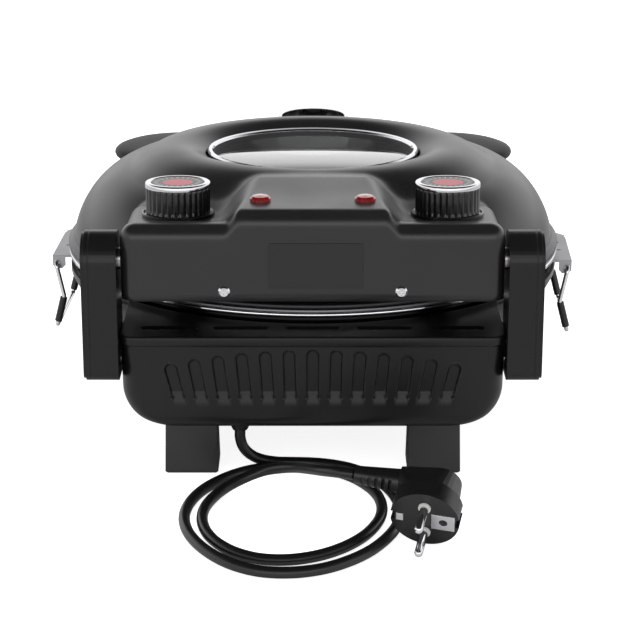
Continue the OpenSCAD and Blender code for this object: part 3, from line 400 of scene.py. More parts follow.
class Finish(Nodes):
    """A material whose pattern is worked out from where a point is on the object, in metres."""

    def __init__(self, name, **constants):
        self.material = afresh(bpy.data.materials, name)
        self.material.use_nodes = True
        super().__init__(self.material.node_tree)
        self.shader = self.tree.nodes["Principled BSDF"]
        self.set(**constants)

    def place(self):
        """Where the point is, in metres."""
        return self.node("ShaderNodeTexCoord", out="Object")

    def noise(self, size, detail=2.0, rough=0.5, squeeze=None):
        """Cloudy pattern whose lumps are about size metres across, or finer along the axes that squeeze scales up."""
        vector = self.place()
        if squeeze:
            vector = self.node("ShaderNodeMapping", None, {"Vector": vector, "Scale": squeeze})
        return self.node(
            "ShaderNodeTexNoise", None, {"Vector": vector, "Scale": 1 / size, "Detail": detail, "Roughness": rough}
        )

    def mix(self, factor, first, second):
        """A colour between two."""
        return self.node("ShaderNodeMix", {"data_type": "RGBA"}, {0: factor, 6: first, 7: second}, out=2)

    def set(self, **values):
        """Feeds the surface shader's sockets."""
        for key, value in values.items():
            self.feed(self.shader.inputs[key.replace("_", " ")], value)
        return self

    def relief(self, height, depth, strength=1.0, rounded=0.0):
        """Raises the surface by depth metres times the height, over edges rounded to a radius in metres."""
        sockets = {"Height": height, "Distance": depth, "Strength": strength}
        if rounded:
            sockets["Normal"] = self.node("ShaderNodeBevel", {"samples": 4}, {"Radius": rounded})
        return self.set(Normal=self.node("ShaderNodeBump", None, sockets))


def moulded(name, swatch, rough, grain=0.0007, depth=0.00006, rounded=0.0007, wander=0.12, coat=0.0, shine=0.5):
    """Moulded plastic: a fine pebbled grain, slow changes of shade and sheen, and softened edges."""
    f = Finish(name, IOR=1.5, Specular_IOR_Level=shine)
    slow = f.noise(0.045, detail=3.0)
    fine = f.noise(grain, rough=0.6)
    f.set(Base_Color=f.mix(f.spread(slow, 0.0, 1.0), paint(swatch, 1 - wander), paint(swatch, 1 + wander)))
    f.set(Roughness=f.spread(slow + fine * 0.3, rough - 0.05, rough + 0.05, 0.35, 0.95))
    if coat:
        f.set(Coat_Weight=coat, Coat_Roughness=0.12)
    return f.relief(fine, depth, strength=0.6, rounded=rounded).material


def metal(name, swatch, rough, brushed=None, rounded=0.0004, smear=0.04):
    """Bare or plated metal: smears of fingerprints in its gloss, and brushing along one axis where that is given."""
    f = Finish(name, Metallic=1.0, Base_Color=paint(swatch))
    f.set(Roughness=f.spread(f.noise(0.022, detail=4.0, rough=0.65), rough, rough + smear))
    fine = f.noise(0.0006, detail=3.0, squeeze=brushed) if brushed else f.noise(0.003)
    depth, strength = (0.00002, 0.5) if brushed else (0.000008, 0.15)
    return f.relief(fine, depth, strength, rounded).material


def bowl_paint(name, swatch):
    """Glossy heat-proof black: deep gloss with faint waviness and dust-fine specks in its roughness."""
    f = Finish(name, IOR=1.52, Base_Color=paint(swatch), Coat_Weight=0.6, Coat_Roughness=0.04)
    waves, specks = f.noise(0.03), f.noise(0.0009)
    f.set(Roughness=f.spread(waves + specks * 0.4, 0.10, 0.2, start=0.4, end=1.0))
    return f.relief(waves, depth=0.00025, strength=0.25, rounded=0.0003).material


def stone_clay(name, swatch):
    """Fired clay: sandy colour with darker and paler grains, pores, and a dull rough face."""
    f = Finish(name, IOR=1.45)
    grains, clouds = f.noise(0.0016, detail=4.0, rough=0.7), f.noise(0.035, detail=3.0)
    sand = f.spread(grains * 0.7 + clouds * 0.3, 0.0, 1.0, start=0.38, end=0.62)
    f.set(Base_Color=f.mix(sand, paint(swatch, 0.68), paint(swatch, 1.2)))
    f.set(Roughness=f.spread(grains, 0.78, 0.95))
    return f.relief(grains, depth=0.0004, strength=0.7, rounded=0.0012).material


def window_pane(name, swatch):
    """Toughened glass: clear with a slight tint, and a faint haze in patches.

    Its IOR is above the 1.5 of real glass, so that it mirrors the room as strongly as the glass in view does.
    """
    f = Finish(name, IOR=2.1, Base_Color=paint(swatch), Transmission_Weight=1.0, Coat_Weight=1.0, Coat_Roughness=0.01)
    haze = f.noise(0.05, detail=3.0)
    f.set(Roughness=f.spread(haze, 0.01, 0.04))
    return f.relief(haze, depth=0.00004, strength=0.05).material


def lamp_plastic(name, swatch):
    """Red lens: partly clear coloured plastic under a glossy face, a little uneven in shade."""
    f = Finish(name, IOR=1.49, Transmission_Weight=0.25, Coat_Weight=0.8, Coat_Roughness=0.05)
    slow = f.noise(0.004)
    f.set(Base_Color=f.mix(f.spread(slow, 0.0, 1.0), paint(swatch, 0.7), paint(swatch)))
    f.set(Roughness=f.spread(slow, 0.12, 0.22))
    return f.relief(slow, depth=0.00008, strength=0.3, rounded=0.0005).material


def dial_print(name, swatch, centre):
    """Printed dial: dark grey face with a ring of pale strokes round a tinted centre.

    They are worked out from the distance and the angle about the knob's axis.
    """
    strokes, ring_in, ring_out, disc = 24, 0.0118, 0.0142, 0.0092
    f = Finish(name, IOR=1.45)
    x, y, _ = f.parts(f.place())
    dx, dy = x - centre[0], y - centre[1]
    away = (dx * dx + dy * dy) ** 0.5
    turn = dy.sum("ARCTAN2", dy, dx) * (strokes / (2 * math.pi)) + 12.25
    step = turn.sum("FRACT", turn)
    stroke = step.over(0.38) * (1 - step.over(0.62))
    ring = away.over(ring_in) * (1 - away.over(ring_out))
    centre_disc = 1 - away.over(disc)
    fine = f.noise(0.0006)
    face = f.mix(fine, (0.05, 0.05, 0.052, 1), (0.07, 0.07, 0.072, 1))
    printed = f.mix(stroke * ring, face, (0.45, 0.45, 0.46, 1))
    f.set(Base_Color=f.mix(centre_disc, printed, paint(swatch)))
    f.set(Roughness=f.spread(fine, 0.3, 0.45))
    return f.relief(fine, depth=0.00003, strength=0.5, rounded=0.0003).material


FINISHES = {}


def finish_for(slot):
    """The finish of a material slot, made once."""
    if slot in FINISHES:
        return FINISHES[slot]
    look, knobs = bpy.context.scene.pizza_colours, bpy.context.scene.pizza_knobs
    # After the colour: roughness, and for moulded ones the grain's size and depth and the edges' radius, in metres
    made = {
        "base_black": lambda: moulded("base_plastic", look.housing, 0.34, 0.0007, 0.00004, 0.0008, shine=0.33),
        "foot": lambda: moulded("foot_plastic", look.foot, 0.36, 0.0007, 0.00004, 0.0011),
        "lid_grey": lambda: moulded("lid_plastic", look.lid, 0.31, 0.0007, 0.00005, 0.0008),
        "wing": lambda: moulded("wing_plastic", look.arm, 0.45, 0.0007, 0.00005, 0.0008, shine=0.16),
        "plate": lambda: moulded("plate_foil", look.plate, 0.3, 0.0004, 0.00001, 0.0002),
        "arm_black": lambda: moulded("arm_plastic", look.arm, 0.32, 0.0007, 0.00004, 0.0012, shine=0.33),
        "knob_black": lambda: moulded("knob_plastic", look.knob, 0.28, 0.0004, 0.00002, 0.0003, coat=0.3),
        "cord_black": lambda: moulded("cord_rubber", look.cord, 0.34, 0.0006, 0.00003, 0.0003),
        "bowl_black": lambda: bowl_paint("bowl_enamel", look.bowl),
        "chrome": lambda: metal("bright_chrome", (0.86, 0.86, 0.87), 0.05),
        "steel": lambda: metal("stainless_steel", (0.70, 0.69, 0.68), 0.2, (1.0, 12.0, 1.0)),
        "zinc": lambda: metal("satin_zinc", (0.62, 0.62, 0.63), 0.34),
        "stone": lambda: stone_clay("fired_clay", look.stone),
        "glass": lambda: window_pane("window_glass_tint", look.glass),
        "gasket": lambda: moulded("silicone_rubber", (0.20, 0.20, 0.205), 0.5, 0.0009, 0.00003),
        "lamp_red": lambda: lamp_plastic("lamp_red_plastic", look.lamp),
        "ceramic": lambda: moulded("glazed_ceramic", (0.88, 0.86, 0.80), 0.25, 0.001, 0.00002),
        "gland": lambda: moulded("gland_rubber", look.cord, 0.4, 0.0006, 0.00003, 0.0006),
        "white": lambda: moulded("white_nylon", (0.90, 0.90, 0.88), 0.4, 0.0008, 0.00002, 0.0002, 0.04),
        "dial_left": lambda: dial_print("timer_dial_print", look.dial, (-knobs.across, knobs.back)),
        "dial_right": lambda: dial_print("thermostat_dial_print", look.dial, (knobs.across, knobs.back)),
    }
    FINISHES[slot] = made[slot]()
    return FINISHES[slot]


def dress(piece, slot, body, finish=None):
    """Gives a piece its slot's finish or another one, and lets it ride on a body."""
    piece.data.materials.clear()
    piece.data.materials.append(finish_for(finish or slot))
    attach(piece, body)


# Operators ----------------------------------------------------------------------------------------


class PIZZA_OT_stage(bpy.types.Operator):
    """Camera, pale floor, soft light and white room"""

    bl_idname = "pizza_maker.stage"
    bl_label = "Stage"

    def execute(self, context):
        look, scene = context.scene.pizza_stage, context.scene
        camera = bpy.data.objects.new("camera", bpy.data.cameras.new("camera"))
        camera.data.lens, camera.data.sensor_width = look.lens, 36.0
        camera.location, camera.rotation_euler = CAMERA_PLACE, CAMERA_TURN
        scene.collection.objects.link(camera)
        scene.camera = camera
        scene.view_settings.view_transform = "Standard"
        for name, size, power, place, turn in (
            ("lamp_above", 1.6, look.key, (0.0, 0.15, 1.5), (0, 0, 0)),
            ("lamp_behind", 1.2, look.key * 0.35, (0.5, 1.6, 1.1), (math.radians(-58), 0, math.radians(-17))),
        ):
            lamp = bpy.data.lights.new(name, "AREA")
            lamp.size, lamp.energy = size, power
            holder = bpy.data.objects.new(name, lamp)
            holder.location, holder.rotation_euler = place, turn
            holder.visible_glossy = False
            scene.collection.objects.link(holder)
        self.room(scene, look)
        self.floor()
        return {"FINISHED"}

    def room(self, scene, look):
        """White where it is seen straight or through glass, and plain room light on the object.

        In gloss it is a studio: bright round the horizon, dark overhead, and a low bright light at the rear.
        """
        world = bpy.data.worlds.new("room")
        scene.world = world
        world.use_nodes = True
        room = Nodes(world.node_tree)

        def fade(value, start, end, low, high):
            """The value's stretch from start to end, carried softly over low to high."""
            return room.spread(value, low, high, start, end, "SMOOTHSTEP")

        seen, through, glossy = room.rays("Camera", "Transmission", "Glossy")
        _, ahead, up = room.parts(room.node("ShaderNodeTexCoord", out="Generated"))
        sky = fade(up, 0.33, 0.62, look.horizon, look.overhead)
        band = fade(up, 0.04, 0.14, 0.0, 1.0) * fade(up, 0.26, 0.36, 1.0, 0.0)
        gloss = band * fade(ahead, 0.6, 0.85, 0.0, look.softbox) + sky
        soft = room.spread(glossy, look.room, gloss, 0.0, 1.0)
        background = room.tree.nodes["Background"].inputs
        room.feed(background["Strength"], room.spread(seen + through, soft, 1.0, 0.0, 1.0))
        room.feed(background["Color"], (1, 1, 1, 1))
        world.cycles.sampling_method = "NONE"

    def floor(self):
        """A wide flat floor, a little below the feet, that keeps the object's shadow."""
        rings, below, glow_white = (0.0, 0.5, 1.5, 6.0), 0.0003, 0.86
        floor = surface("floor", turned([(r, -below) for r in rings], 96), round_cols=True, flip=True)
        f = Finish("floor_paint", Base_Color=(0.8, 0.8, 0.8, 1), Roughness=0.95, Specular_IOR_Level=0.1)
        seen, through = f.rays("Camera", "Transmission")
        glow = f.node("ShaderNodeEmission", None, {"Color": (1, 1, 1, 1), "Strength": (seen + through) * glow_white})
        both = f.node("ShaderNodeAddShader", None, [Value(f, f.shader.outputs[0]), glow])
        f.feed(f.tree.nodes["Material Output"].inputs["Surface"], both)
        floor.data.materials.append(f.material)


class PIZZA_OT_cord(bpy.types.Operator):
    """Mains cord as one round tube along its route"""

    bl_idname = "pizza_maker.cord"
    bl_label = "Mains cord"

    def execute(self, context):
        sizes = context.scene.pizza_cord
        line = smooth_line(ROUTE, sizes.steps) * MM
        points = self.tube(line, sizes.diameter / 2, sizes.sides)
        cord = surface("mains_cord", points, round_cols=True, ends=True)
        dress(cord, "cord_black", "base")
        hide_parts("power_cord")
        run = float(np.linalg.norm(np.diff(line, axis=0), axis=1).sum())
        return {"FINISHED"}

    def tube(self, line, radius, sides):
        """Circles square to the line's heading.

        Their first spoke is square to the heading and to a guide. The guide turns from Y to Z over the first
        70 mm, so that it never meets the heading.
        """
        heading = np.gradient(line, axis=0)
        heading /= np.linalg.norm(heading, axis=1)[:, None]
        run = np.concatenate([[0], np.cumsum(np.linalg.norm(np.diff(line, axis=0), axis=1))])
        w = (1 - soft_step(run / 0.07))[:, None]
        guide = w * np.array([0, 1, 0]) + (1 - w) * np.array([0, 0, 1])
        across = np.cross(heading, guide)
        across /= np.linalg.norm(across, axis=1)[:, None]
        up = np.cross(across, heading)
        a = np.linspace(0, 2 * math.pi, sides, endpoint=False)[None, :, None]
        return line[:, None] + radius * (np.cos(a) * across[:, None] + np.sin(a) * up[:, None])


class PIZZA_OT_lid(bpy.types.Operator):
    """Lid's outer skin as one soft moulded surface, with the flange under it"""

    bl_idname = "pizza_maker.lid"
    bl_label = "Lid skin"
    # Section of the crest: radius and rise over the crest's middle, in millimetres
    CREST = [
        (60, -4.0), (70.5, -0.6), (73, 1.2), (76, 2.9), (79, 4.4), (82, 5.6), (85, 6.3), (88, 6.6), (92, 6.5),
        (97, 5.7), (102, 4.2), (107, 2.0), (112, -1.0), (117, -5.5), (123, -13), (131, -28), (400, -500),
    ]

    def execute(self, context):
        s = context.scene.pizza_lid
        skin = surface("lid_skin", self.skin(s), round_cols=True, flip=True)
        wall = skin.modifiers.new("wall", "SOLIDIFY")
        wall.thickness, wall.offset = s.skin, -1
        dress(skin, "lid_grey", "lid")
        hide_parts("lid_shell")
        ring = turned(self.flange(s), 256)[::-1]
        flange = surface("lid_flange", ring, round_rows=True, round_cols=True, sharp=50)
        dress(flange, "lid_grey", "lid")
        return {"FINISHED"}

    def flange(self, s):
        """Closed section of the flange: outwards over its bead, round the outer edge and back underneath."""
        r, low = s.flange_radius / MM, 98.4
        ring = [
            (156.5, 106.0), (158.6, 106.4), (159.1, 105.0), (159.5, 103.9), (160.5, 103.0), (161.9, 102.3),
            (r - 0.4, 101.6), (r, 100.9), (r, 99.5), (r - 0.3, 98.8), (r - 1.0, low), (158, low), (156.5, low + 0.6),
        ]
        return np.array(ring) * MM

    def crest(self, x, y, s):
        """Height of the tilted crest: its section, softened and turned about an axis that leans as the window does."""
        spacing, blur, rim_rise = 0.25, 1.7, 6  # The lean moves the rim sideways by its rise times the slope
        radii = np.arange(60, 200, spacing)
        rise = np.interp(radii, *np.array(self.CREST).T)
        kernel = np.exp(-0.5 * (np.arange(-20, 21) * spacing / blur) ** 2)
        rise[20:-20] = np.convolve(rise, kernel / kernel.sum(), "valid")
        slope, shrink = math.tan(WINDOW_LEAN), math.cos(WINDOW_LEAN)
        away = np.hypot(x, y / shrink + rim_rise * slope)
        return s.crest_hub / MM + y * slope + np.interp(away, radii, rise) / shrink

    def inside(self, x, y, s):
        """How far a place is inside the housing's outline.

        The outline is a rectangle with round corners, whose sides draw in towards the front.
        """
        corner, draw, draw_from, draw_over = 9.0, 12.5, 104, 50
        side = s.half_width / MM - draw * np.clip((draw_from - y) / draw_over, 0, 1.6) ** 1.5
        qx, qy = np.abs(x) - (side - corner), y - (s.rear / MM - corner)
        return corner - (np.hypot(np.maximum(qx, 0), np.maximum(qy, 0)) + np.minimum(np.maximum(qx, qy), 0))

    def height(self, x, y, s):
        """Height of the whole skin over a place: the softened highest of dome, crest, knob pads and raised middle.

        The pads rise a little behind the knobs, and the step beside the middle widens towards the crest. The
        housing sinks away at the window and in front of it.
        """
        corner, pad, middle, softness = mm(s.corner, s.pad_height, s.middle_height, s.softness)
        body = soft_max(dome_height(np.hypot(x, y), s), self.crest(x, y, s), 5.0)
        rise_behind, rise_front, middle_half, round_power, least_soft = 4.6, 2.0, 47.0, 2.4, 4
        sink_window, sink_front = 30, 34
        d = self.inside(x, y, s)
        near = np.clip(1 - d / corner, 0, 1)
        drop = corner * (1 - (1 - near**round_power) ** (1 / round_power)) + np.maximum(-d, 0) * 4
        pad = pad + (y - KNOB_BACK / MM) * math.tan(PAD_SLOPE) + rise_behind * soft_step((y - 150) / 24)
        width = 9.5 + 0.3 * np.clip(178 - y, 0, 80)
        step = 1 - soft_step((np.abs(x) - middle_half) / width + 0.5)
        lift = (middle + rise_front * (1 - soft_step((y - 88) / 62)) - pad) * step
        off_window, behind = soft_step((np.hypot(x, y) - 70) / 16), soft_step((y - 44) / 64)
        top = pad + lift - sink_window * (1 - off_window) - sink_front * (1 - behind)
        return soft_max(body, top - drop, least_soft + (softness - least_soft) * (1 - step))

    def skin(self, s):
        """Rays from the window's edge to the outline, closer together at the outline, then down the walls."""
        rear_rays, front_rays, rows, wall_rows, past, seat = 340, 120, 92, 8, 0.10, 3.4
        turns = [
            np.linspace(-past, math.pi + past, rear_rays, endpoint=False),
            np.linspace(math.pi + past, 2 * math.pi - past, front_rays, endpoint=False),
        ]
        cos, sin = np.cos(np.concatenate(turns)), np.sin(np.concatenate(turns))
        near, far = np.full_like(cos, 100.0), np.full_like(cos, 260.0)
        for _ in range(40):  # Halves the stretch in which a ray leaves the housing
            mid = (near + far) / 2
            within = (self.inside(mid * cos, mid * sin, s) > 0) & (sin > 0)
            near, far = np.where(within, mid, near), np.where(within, far, mid)
        dome, dome_low, housing_low, window = mm(s.dome_radius, s.dome_low, s.housing_low, s.window_radius)
        edge = np.maximum(near, dome)
        start = window / np.sqrt(cos**2 + (sin / math.cos(WINDOW_LEAN)) ** 2)
        r = start + (edge - start) * (1 - (1 - np.linspace(0, 1, rows)[:, None]) ** 1.7)
        x, y = r * cos, r * sin
        z = self.height(x, y, s)
        low = dome_low + (housing_low - dome_low) * soft_step((edge - dome) / 2)
        fall = np.linspace(0, 1, wall_rows + 1)[1:, None]
        wall = np.stack([x[-1] + 0 * fall, y[-1] + 0 * fall, z[-1] + (low - z[-1]) * fall], -1)
        rim = np.stack([x[:1], y[:1], z[:1] - seat], -1)
        return np.concatenate([rim, np.stack([x, y, z], -1), wall]) * MM


class PIZZA_OT_window(bpy.types.Operator):
    """Window pane, set low in a dark seal"""

    bl_idname = "pizza_maker.window"
    bl_label = "Window"
    # Sections: radius and height over the crest's middle, in millimetres
    PANE = [(0, -3.2), (65.6, -3.2), (66, -3.0), (66, -2.4), (65.6, -2.2), (0, -2.2)]
    SEAL = [(66, -3.2), (69, -3.2), (69, 0.7), (68.9, 0.8), (66.2, 0.8), (66, 0.6)]

    def execute(self, context):
        lean, hub = about_x(WINDOW_LEAN), (0, 0, context.scene.pizza_lid.crest_hub)
        disc, wall = (put(turned(np.array(section) * MM, 192), lean, hub) for section in (self.PANE, self.SEAL))
        pane = surface("window_pane", disc, round_cols=True, sharp=30)
        dress(pane, "glass", "lid")
        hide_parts("window_glass")
        seal = surface("window_seal", wall, round_rows=True, round_cols=True, sharp=40)
        dress(seal, "gasket", "lid")
        return {"FINISHED"}


class PIZZA_OT_base(bpy.types.Operator):
    """Base housing: the round drum, and behind it a soft box with a lip, a slotted deck and louvres"""

    bl_idname = "pizza_maker.base"
    bl_label = "Base housing"

    def execute(self, context):
        s = context.scene.pizza_base
        drum = surface("base_drum", turned(self.drum(s), 256)[::-1], round_rows=True, round_cols=True, sharp=50)
        dress(drum, "base_black", "base")
        box = surface("base_box", self.box(s), round_cols=True, ends=True, sharp=60)
        dress(box, "base_black", "base")
        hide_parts("base_housing")
        return {"FINISHED"}

    def drum(self, s):
        """Closed wall section: out along the bottom, round its corner, up the leaning side, and back down inside."""
        r, low_r, top, low, corner = mm(s.drum_radius, s.drum_low, s.drum_top, s.low, s.drum_corner)
        hole, wall = 66, 3
        a = np.radians(np.linspace(-90, 0, 10))
        outer, inner = (
            np.stack([low_r - corner + c * np.cos(a), low + corner + c * np.sin(a)], 1) for c in (corner, corner - wall)
        )
        rim = [(r - 1.5, top - 7), (r, top - 4), (r, top), (r - wall, top), (r - wall, top - 5)]
        return np.vstack([[(hole, low)], outer, rim, inner[::-1], [(hole, low + wall)]]) * MM

    def outline(self, half, rear, corner, t):
        """The box seen from above, in three stretches of t: the right side, its upright corner, the rear wall."""
        front = 66.0
        side, turn, across = np.clip(t, 0, 1), np.clip(t - 1, 0, 1) * math.pi / 2, np.clip(t - 2, 0, 1)
        x = half - corner * (1 - np.cos(turn)) - (half - corner) * across
        y = front + (rear - corner - front) * side + corner * np.sin(turn)
        return x, y

    def box(self, s):
        """Sections from the inside of the deck out over the lip, down the wall and in under the floor.

        They are carried along the outline. The right half is worked out and the left one is its mirror image.
        """
        half, rear, deck, low = mm(s.lip_width, s.lip_rear, s.deck, s.box_low)
        lip, side_corner, rear_corner, upright = mm(s.lip, s.side_corner, s.rear_corner, s.upright_corner)
        t = [np.linspace(0, 1, 30, endpoint=False), np.linspace(1, 2, 26, endpoint=False), np.linspace(2, 3, 190)]
        t = np.concatenate(t)
        sign = np.concatenate([np.ones(len(t) - 1), -np.ones(len(t))])[:, None]
        t = np.concatenate([t, t[-2::-1]])[:, None]

        # Rows of a section in five bands: their heights, how far they lie inside the lip's edge, how far out they
        # reach from the inner edge (0) to the wall (1), and the radius of the upright corner
        top, turn = deck - lip - 0.7, np.linspace(0.30, math.pi / 2, 22)[1:]
        wall_z = np.concatenate([np.linspace(top, low + side_corner - 7, 66), low + side_corner * (1 - np.sin(turn))])
        lip_z = [deck - 0.1, deck - 0.4, deck - 0.9, deck - 1.5, deck - lip + 0.6, deck - lip + 0.2, deck - lip]
        bands = [
            (deck, 1.5, np.linspace(0, 1, 46), 9.0),
            (lip_z, [0.75, 0.35, 0.1, 0.0, 0.0, 0.15, 0.5], 1, 9.0),
            (wall_z, 1.5, 1, 9 + (upright - 9) * soft_step((top - wall_z) / 30)),
            (low, 1.5, 1 - np.linspace(0, 1, 12)[1:], upright),
            ([low + 3, deck - 3], 0, 0, upright),
        ]
        bands = [np.array(np.broadcast_arrays(*band), float) for band in bands]
        z, inset, cover, corner = np.concatenate(bands, 1)[:, None]
        band = np.repeat(np.arange(5), [rows.shape[1] for rows in bands])
        on_deck, on_wall, inner_floor = band == 0, band == 2, (band > 2) & (cover == 0)

        def rounding(radius):
            """How far a round lower edge draws in."""
            rise = np.clip(radius - (z - low), 0, radius)
            return np.where(inner_floor, 0, radius - np.sqrt(radius * radius - rise**2))

        x, y = self.outline(
            half - 0.3 * inset - rounding(side_corner), rear - inset - rounding(rear_corner), corner, t
        )
        out = np.hypot(x, y)
        inner = np.minimum(160.0, out - 4.0)
        scale = inner / out + (1 - inner / out) * cover
        x, y = x * scale, y * scale
        y = y - self.louvres(s, x, z + 0 * y) * (on_wall * soft_step((y - (rear - 12)) / 2))
        z = z - self.slots(x * sign, y) * on_deck
        return np.stack([x * sign, y, z + 0 * x], -1) * MM

    def louvres(self, s, x, z):
        """How deep the rear wall is drawn in: upright channels that fan out upwards.

        Each has an arched head, a ramp and two nicks at its foot, and a faint raised edge.
        """
        low, middle_top, outer_drop, ramp = 47.0, 76.6, 8.4, 6.4
        pitch, fan, half_width, deep = 13.2, 0.85, 3.45, s.louvre_depth / MM
        up = z - low
        depth = np.zeros_like(x)
        for i in range((s.louvres + 1) // 2):
            high = middle_top - outer_drop * (2 * i / (s.louvres - 1)) ** 2
            middle = pitch * i + fan * i * np.clip(up / (high - low), 0, 1)
            across = np.hypot(x - middle, np.maximum(z - high, 0))
            half = half_width + 0.7 * np.exp(-((up / 1.8) ** 2))
            inside = soft_step((half - across) / 0.6 + 0.5)
            foot = soft_step((up + 0.4) / 0.8) * np.clip(0.1 + up / ramp, 0, 1)
            head = soft_step((up - ramp) / 0.3)
            raised = 0.22 * np.exp(-(((across - half - 0.5) / 0.45) ** 2)) * soft_step((up - 2) / 6)
            nick = 1.1 * np.exp(-(((np.abs(x - middle) - 3.5) ** 2 + (up - 3.4) ** 2) / 0.7**2))
            depth = np.maximum(depth, inside * foot * deep * (0.82 + 0.18 * head) + nick) - raised * (depth < 0.01)
        return depth

    def slots(self, x, y):
        """How deep the deck is cut: five slots across, with round ends."""
        pitch, half_length, row, half_width, deep, blur = 43, 14, 168.3, 2.3, 1.8, 1.4
        depth = np.zeros_like(x)
        for i in range(-2, 3):
            away = np.hypot(np.maximum(np.abs(x - pitch * i) - half_length, 0), y - row)
            depth = np.maximum(depth, deep * soft_step((half_width - away) / blur + 0.5))
        return depth


class PIZZA_OT_wings(bpy.types.Operator):
    """The two crowned lobes beside the front of the lid, and the blank plate on its rear face"""

    bl_idname = "pizza_maker.wings"
    bl_label = "Wings and plate"
    # Section of a wing: radius and height, in millimetres
    WING = [
        (0, 122.2), (30, 122.2), (42, 122.3), (45, 122.9), (46.4, 124.1), (46.9, 125.5), (46.6, 126.8),
        (45.4, 128.0), (42.5, 129.1), (38, 129.9), (30, 130.6), (20, 130.9), (10, 131.0), (0, 131.0),
    ]

    def execute(self, context):
        for name, side in (("left", -1), ("right", 1)):
            wing = surface("lid_wing_" + name, self.wing(side), round_cols=True, sharp=60)
            dress(wing, "lid_grey", "lid", "wing")
            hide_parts("wing_" + name)
        plate = surface("rear_plate", self.plate(), round_cols=True, ends=True, sharp=40)
        dress(plate, "lid_grey", "lid", "plate")
        return {"FINISHED"}

    def wing(self, side):
        """A crowned disc, turned about the wing's axis.

        What would reach into the dome is drawn out to just under the dome's skin.
        """
        away, angle, under = 165.7, math.radians(-90 + side * 36), 0.8
        x, y, z = np.moveaxis(turned(self.WING, 128), -1, 0)
        x, y = x + away * math.cos(angle), y + away * math.sin(angle)
        grow = np.maximum((dome_reach(z, bpy.context.scene.pizza_lid) - under) / np.hypot(x, y), 1)
        return np.stack([x * grow, y * grow, z], -1) * MM

    def plate(self):
        """A thin upright plate with rounded corners, a quarter of a millimetre proud of the rear face."""
        half, high, corner, aside, up = 27.9, 13.7, 1.2, -1.8, 132.8
        a = np.linspace(0, 2 * math.pi, 48, endpoint=False) + math.pi / 48
        x = np.sign(np.cos(a)) * (half - corner) + corner * np.cos(a) + aside
        z = np.sign(np.sin(a)) * (high - corner) + corner * np.sin(a)
        layers = [(184.0, 1, 1), (185.15, 1, 1), (185.25, 0.997, 0.994)]  # Distance back, share across, share up
        return np.stack([np.stack([x * wide, 0 * x + y, up + z * tall], -1) for y, wide, tall in layers]) * MM


class PIZZA_OT_knobs(bpy.types.Operator):
    """Two fluted control knobs, each with its bright collar"""

    bl_idname = "pizza_maker.knobs"
    bl_label = "Control knobs"

    def execute(self, context):
        s = context.scene.pizza_knobs
        for name, side in (("timer", -1), ("thermostat", 1)):
            place = (about_x(s.tilt), (side * s.across, s.back, context.scene.pizza_lid.pad_height))
            knob = surface(name + "_grip", put(self.grip(s), *place), round_cols=True, sharp=35)
            dress(knob, "knob_black", name)
            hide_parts(name + "_knob")
            collar = put(self.collar(s), *place)
            ring = surface(name + "_bright_ring", collar, round_rows=True, round_cols=True, sharp=40)
            dress(ring, "chrome", name)
            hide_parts(name + "_collar")
        return {"FINISHED"}

    def grip(self, s):
        """The fluted part: its radius is the profile's, less a row of round hollows that fade out at both ends.

        A hollow is depth times 1 - |sin(n a / 2)|^0.8, for n flutes at the angle a.
        """
        a = np.linspace(0, 2 * math.pi, s.flutes * 10, endpoint=False)[None, :]
        r, h = mm(s.radius, s.height)
        # Radius, height, and share of the hollows' depth
        profile = np.array([
            (0.0, 1.4, 0), (r - 2.5, 1.4, 0), (r - 0.5, 1.4, 0), (r, 1.9, 0.0), (r, 3.0, 0.7), (r, 4.2, 1.0),
            (r, 9.0, 1.0), (r, h - 1.8, 1.0), (r - 0.05, h - 0.7, 1.0), (r - 0.35, h - 0.15, 0.6), (r - 1.2, h, 0.0),
            (8.0, h, 0), (0.0, h, 0),
        ])
        hollow = s.flute_depth / MM * (1 - np.abs(np.sin(s.flutes * a / 2)) ** 0.8)
        radius = np.maximum(profile[:, :1] - hollow * profile[:, 2:], 0)
        return np.stack([radius * np.cos(a), radius * np.sin(a), profile[:, 1:2] + 0 * a], -1) * MM

    def collar(self, s):
        """A flat ring with a raised bright lip at its outer edge, turned about the knob's axis."""
        r, h = mm(s.radius, s.height)
        lip = [
            (16.1, h - 0.4), (r, h - 0.4), (r + 0.3, h - 0.2), (r + 0.3, h + 1.7), (r + 0.15, h + 2.3),
            (r - 0.2, h + 2.7), (r - 0.75, h + 2.88), (r - 2.3, h + 2.9), (16.5, h + 2.75), (16.1, h + 2.3),
        ]
        return turned(np.array(lip) * MM, 144)


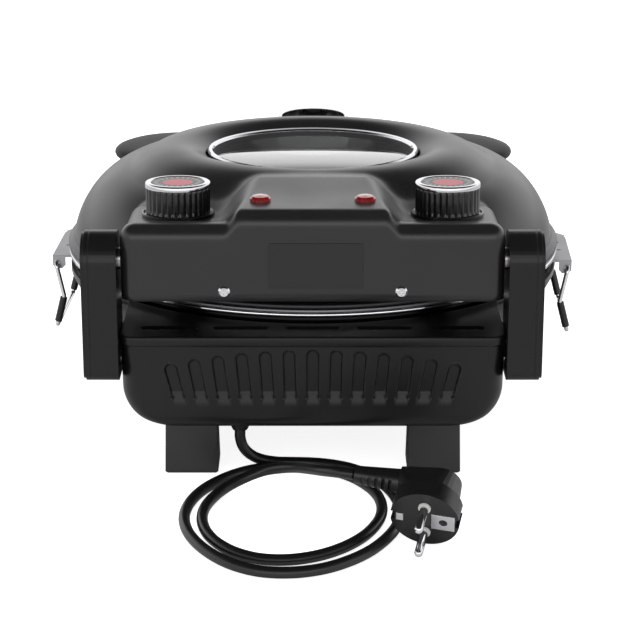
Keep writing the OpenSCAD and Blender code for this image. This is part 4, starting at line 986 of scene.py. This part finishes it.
class PIZZA_OT_finishes(bpy.types.Operator):
    """Finishes of the parts carried over as they are"""

    bl_idname = "pizza_maker.finishes"
    bl_label = "Finishes"
    # Parts whose finish differs from their slot's
    OWN = {
        "timer_dial": "dial_left", "thermostat_dial": "dial_right", "front_feet": "foot", "rear_feet": "foot",
        "tray_bracket_left": "zinc", "tray_bracket_right": "zinc", "cord_gland": "gland", "lid_screws": "chrome",
    }

    def execute(self, context):
        slots = {row["node"]: row["material_slot"] for row in frame["record"]["subparts"]}
        for name, node in frame["nodes"].items():
            node.data.materials.clear()
            node.data.materials.append(finish_for(self.OWN.get(name, slots[name])))
        return {"FINISHED"}


class PIZZA_PT_panel(bpy.types.Panel):
    """The pizza maker's pieces, sizes and colours"""

    bl_idname = "PIZZA_PT_panel"
    bl_label = "Pizza maker"
    bl_space_type = "VIEW_3D"
    bl_region_type = "UI"
    bl_category = "Pizza maker"

    def draw(self, context):
        for operator in OPERATORS:
            self.layout.operator(operator.bl_idname)
        for group in GROUPS:
            box = self.layout.box()
            settings = getattr(context.scene, group)
            for name in settings.bl_rna.properties.keys():
                if name not in ("rna_type", "name"):
                    box.prop(settings, name)


OPERATORS = [
    PIZZA_OT_stage, PIZZA_OT_cord, PIZZA_OT_lid, PIZZA_OT_window, PIZZA_OT_base, PIZZA_OT_wings, PIZZA_OT_knobs,
    PIZZA_OT_finishes,
]
GROUPS = {
    "pizza_lid": LidSizes,
    "pizza_base": BaseSizes,
    "pizza_knobs": KnobSizes,
    "pizza_cord": CordSizes,
    "pizza_colours": FinishColours,
    "pizza_stage": StageLook,
}


def register():
    """Makes the sizes, operators and panel known to Blender."""
    for name, group in GROUPS.items():
        bpy.utils.register_class(group)
        setattr(bpy.types.Scene, name, bpy.props.PointerProperty(type=group))
    for item in [*OPERATORS, PIZZA_PT_panel]:
        bpy.utils.register_class(item)


def unregister():
    """Takes them away again."""
    for item in [PIZZA_PT_panel, *reversed(OPERATORS)]:
        bpy.utils.unregister_class(item)
    for name, group in reversed(list(GROUPS.items())):
        delattr(bpy.types.Scene, name)
        bpy.utils.unregister_class(group)


def main():
    """Builds every piece in order."""
    register()
    for operator in OPERATORS:
        group, name = operator.bl_idname.split(".")
        getattr(getattr(bpy.ops, group), name)()


if __name__ == "__main__":
    main()
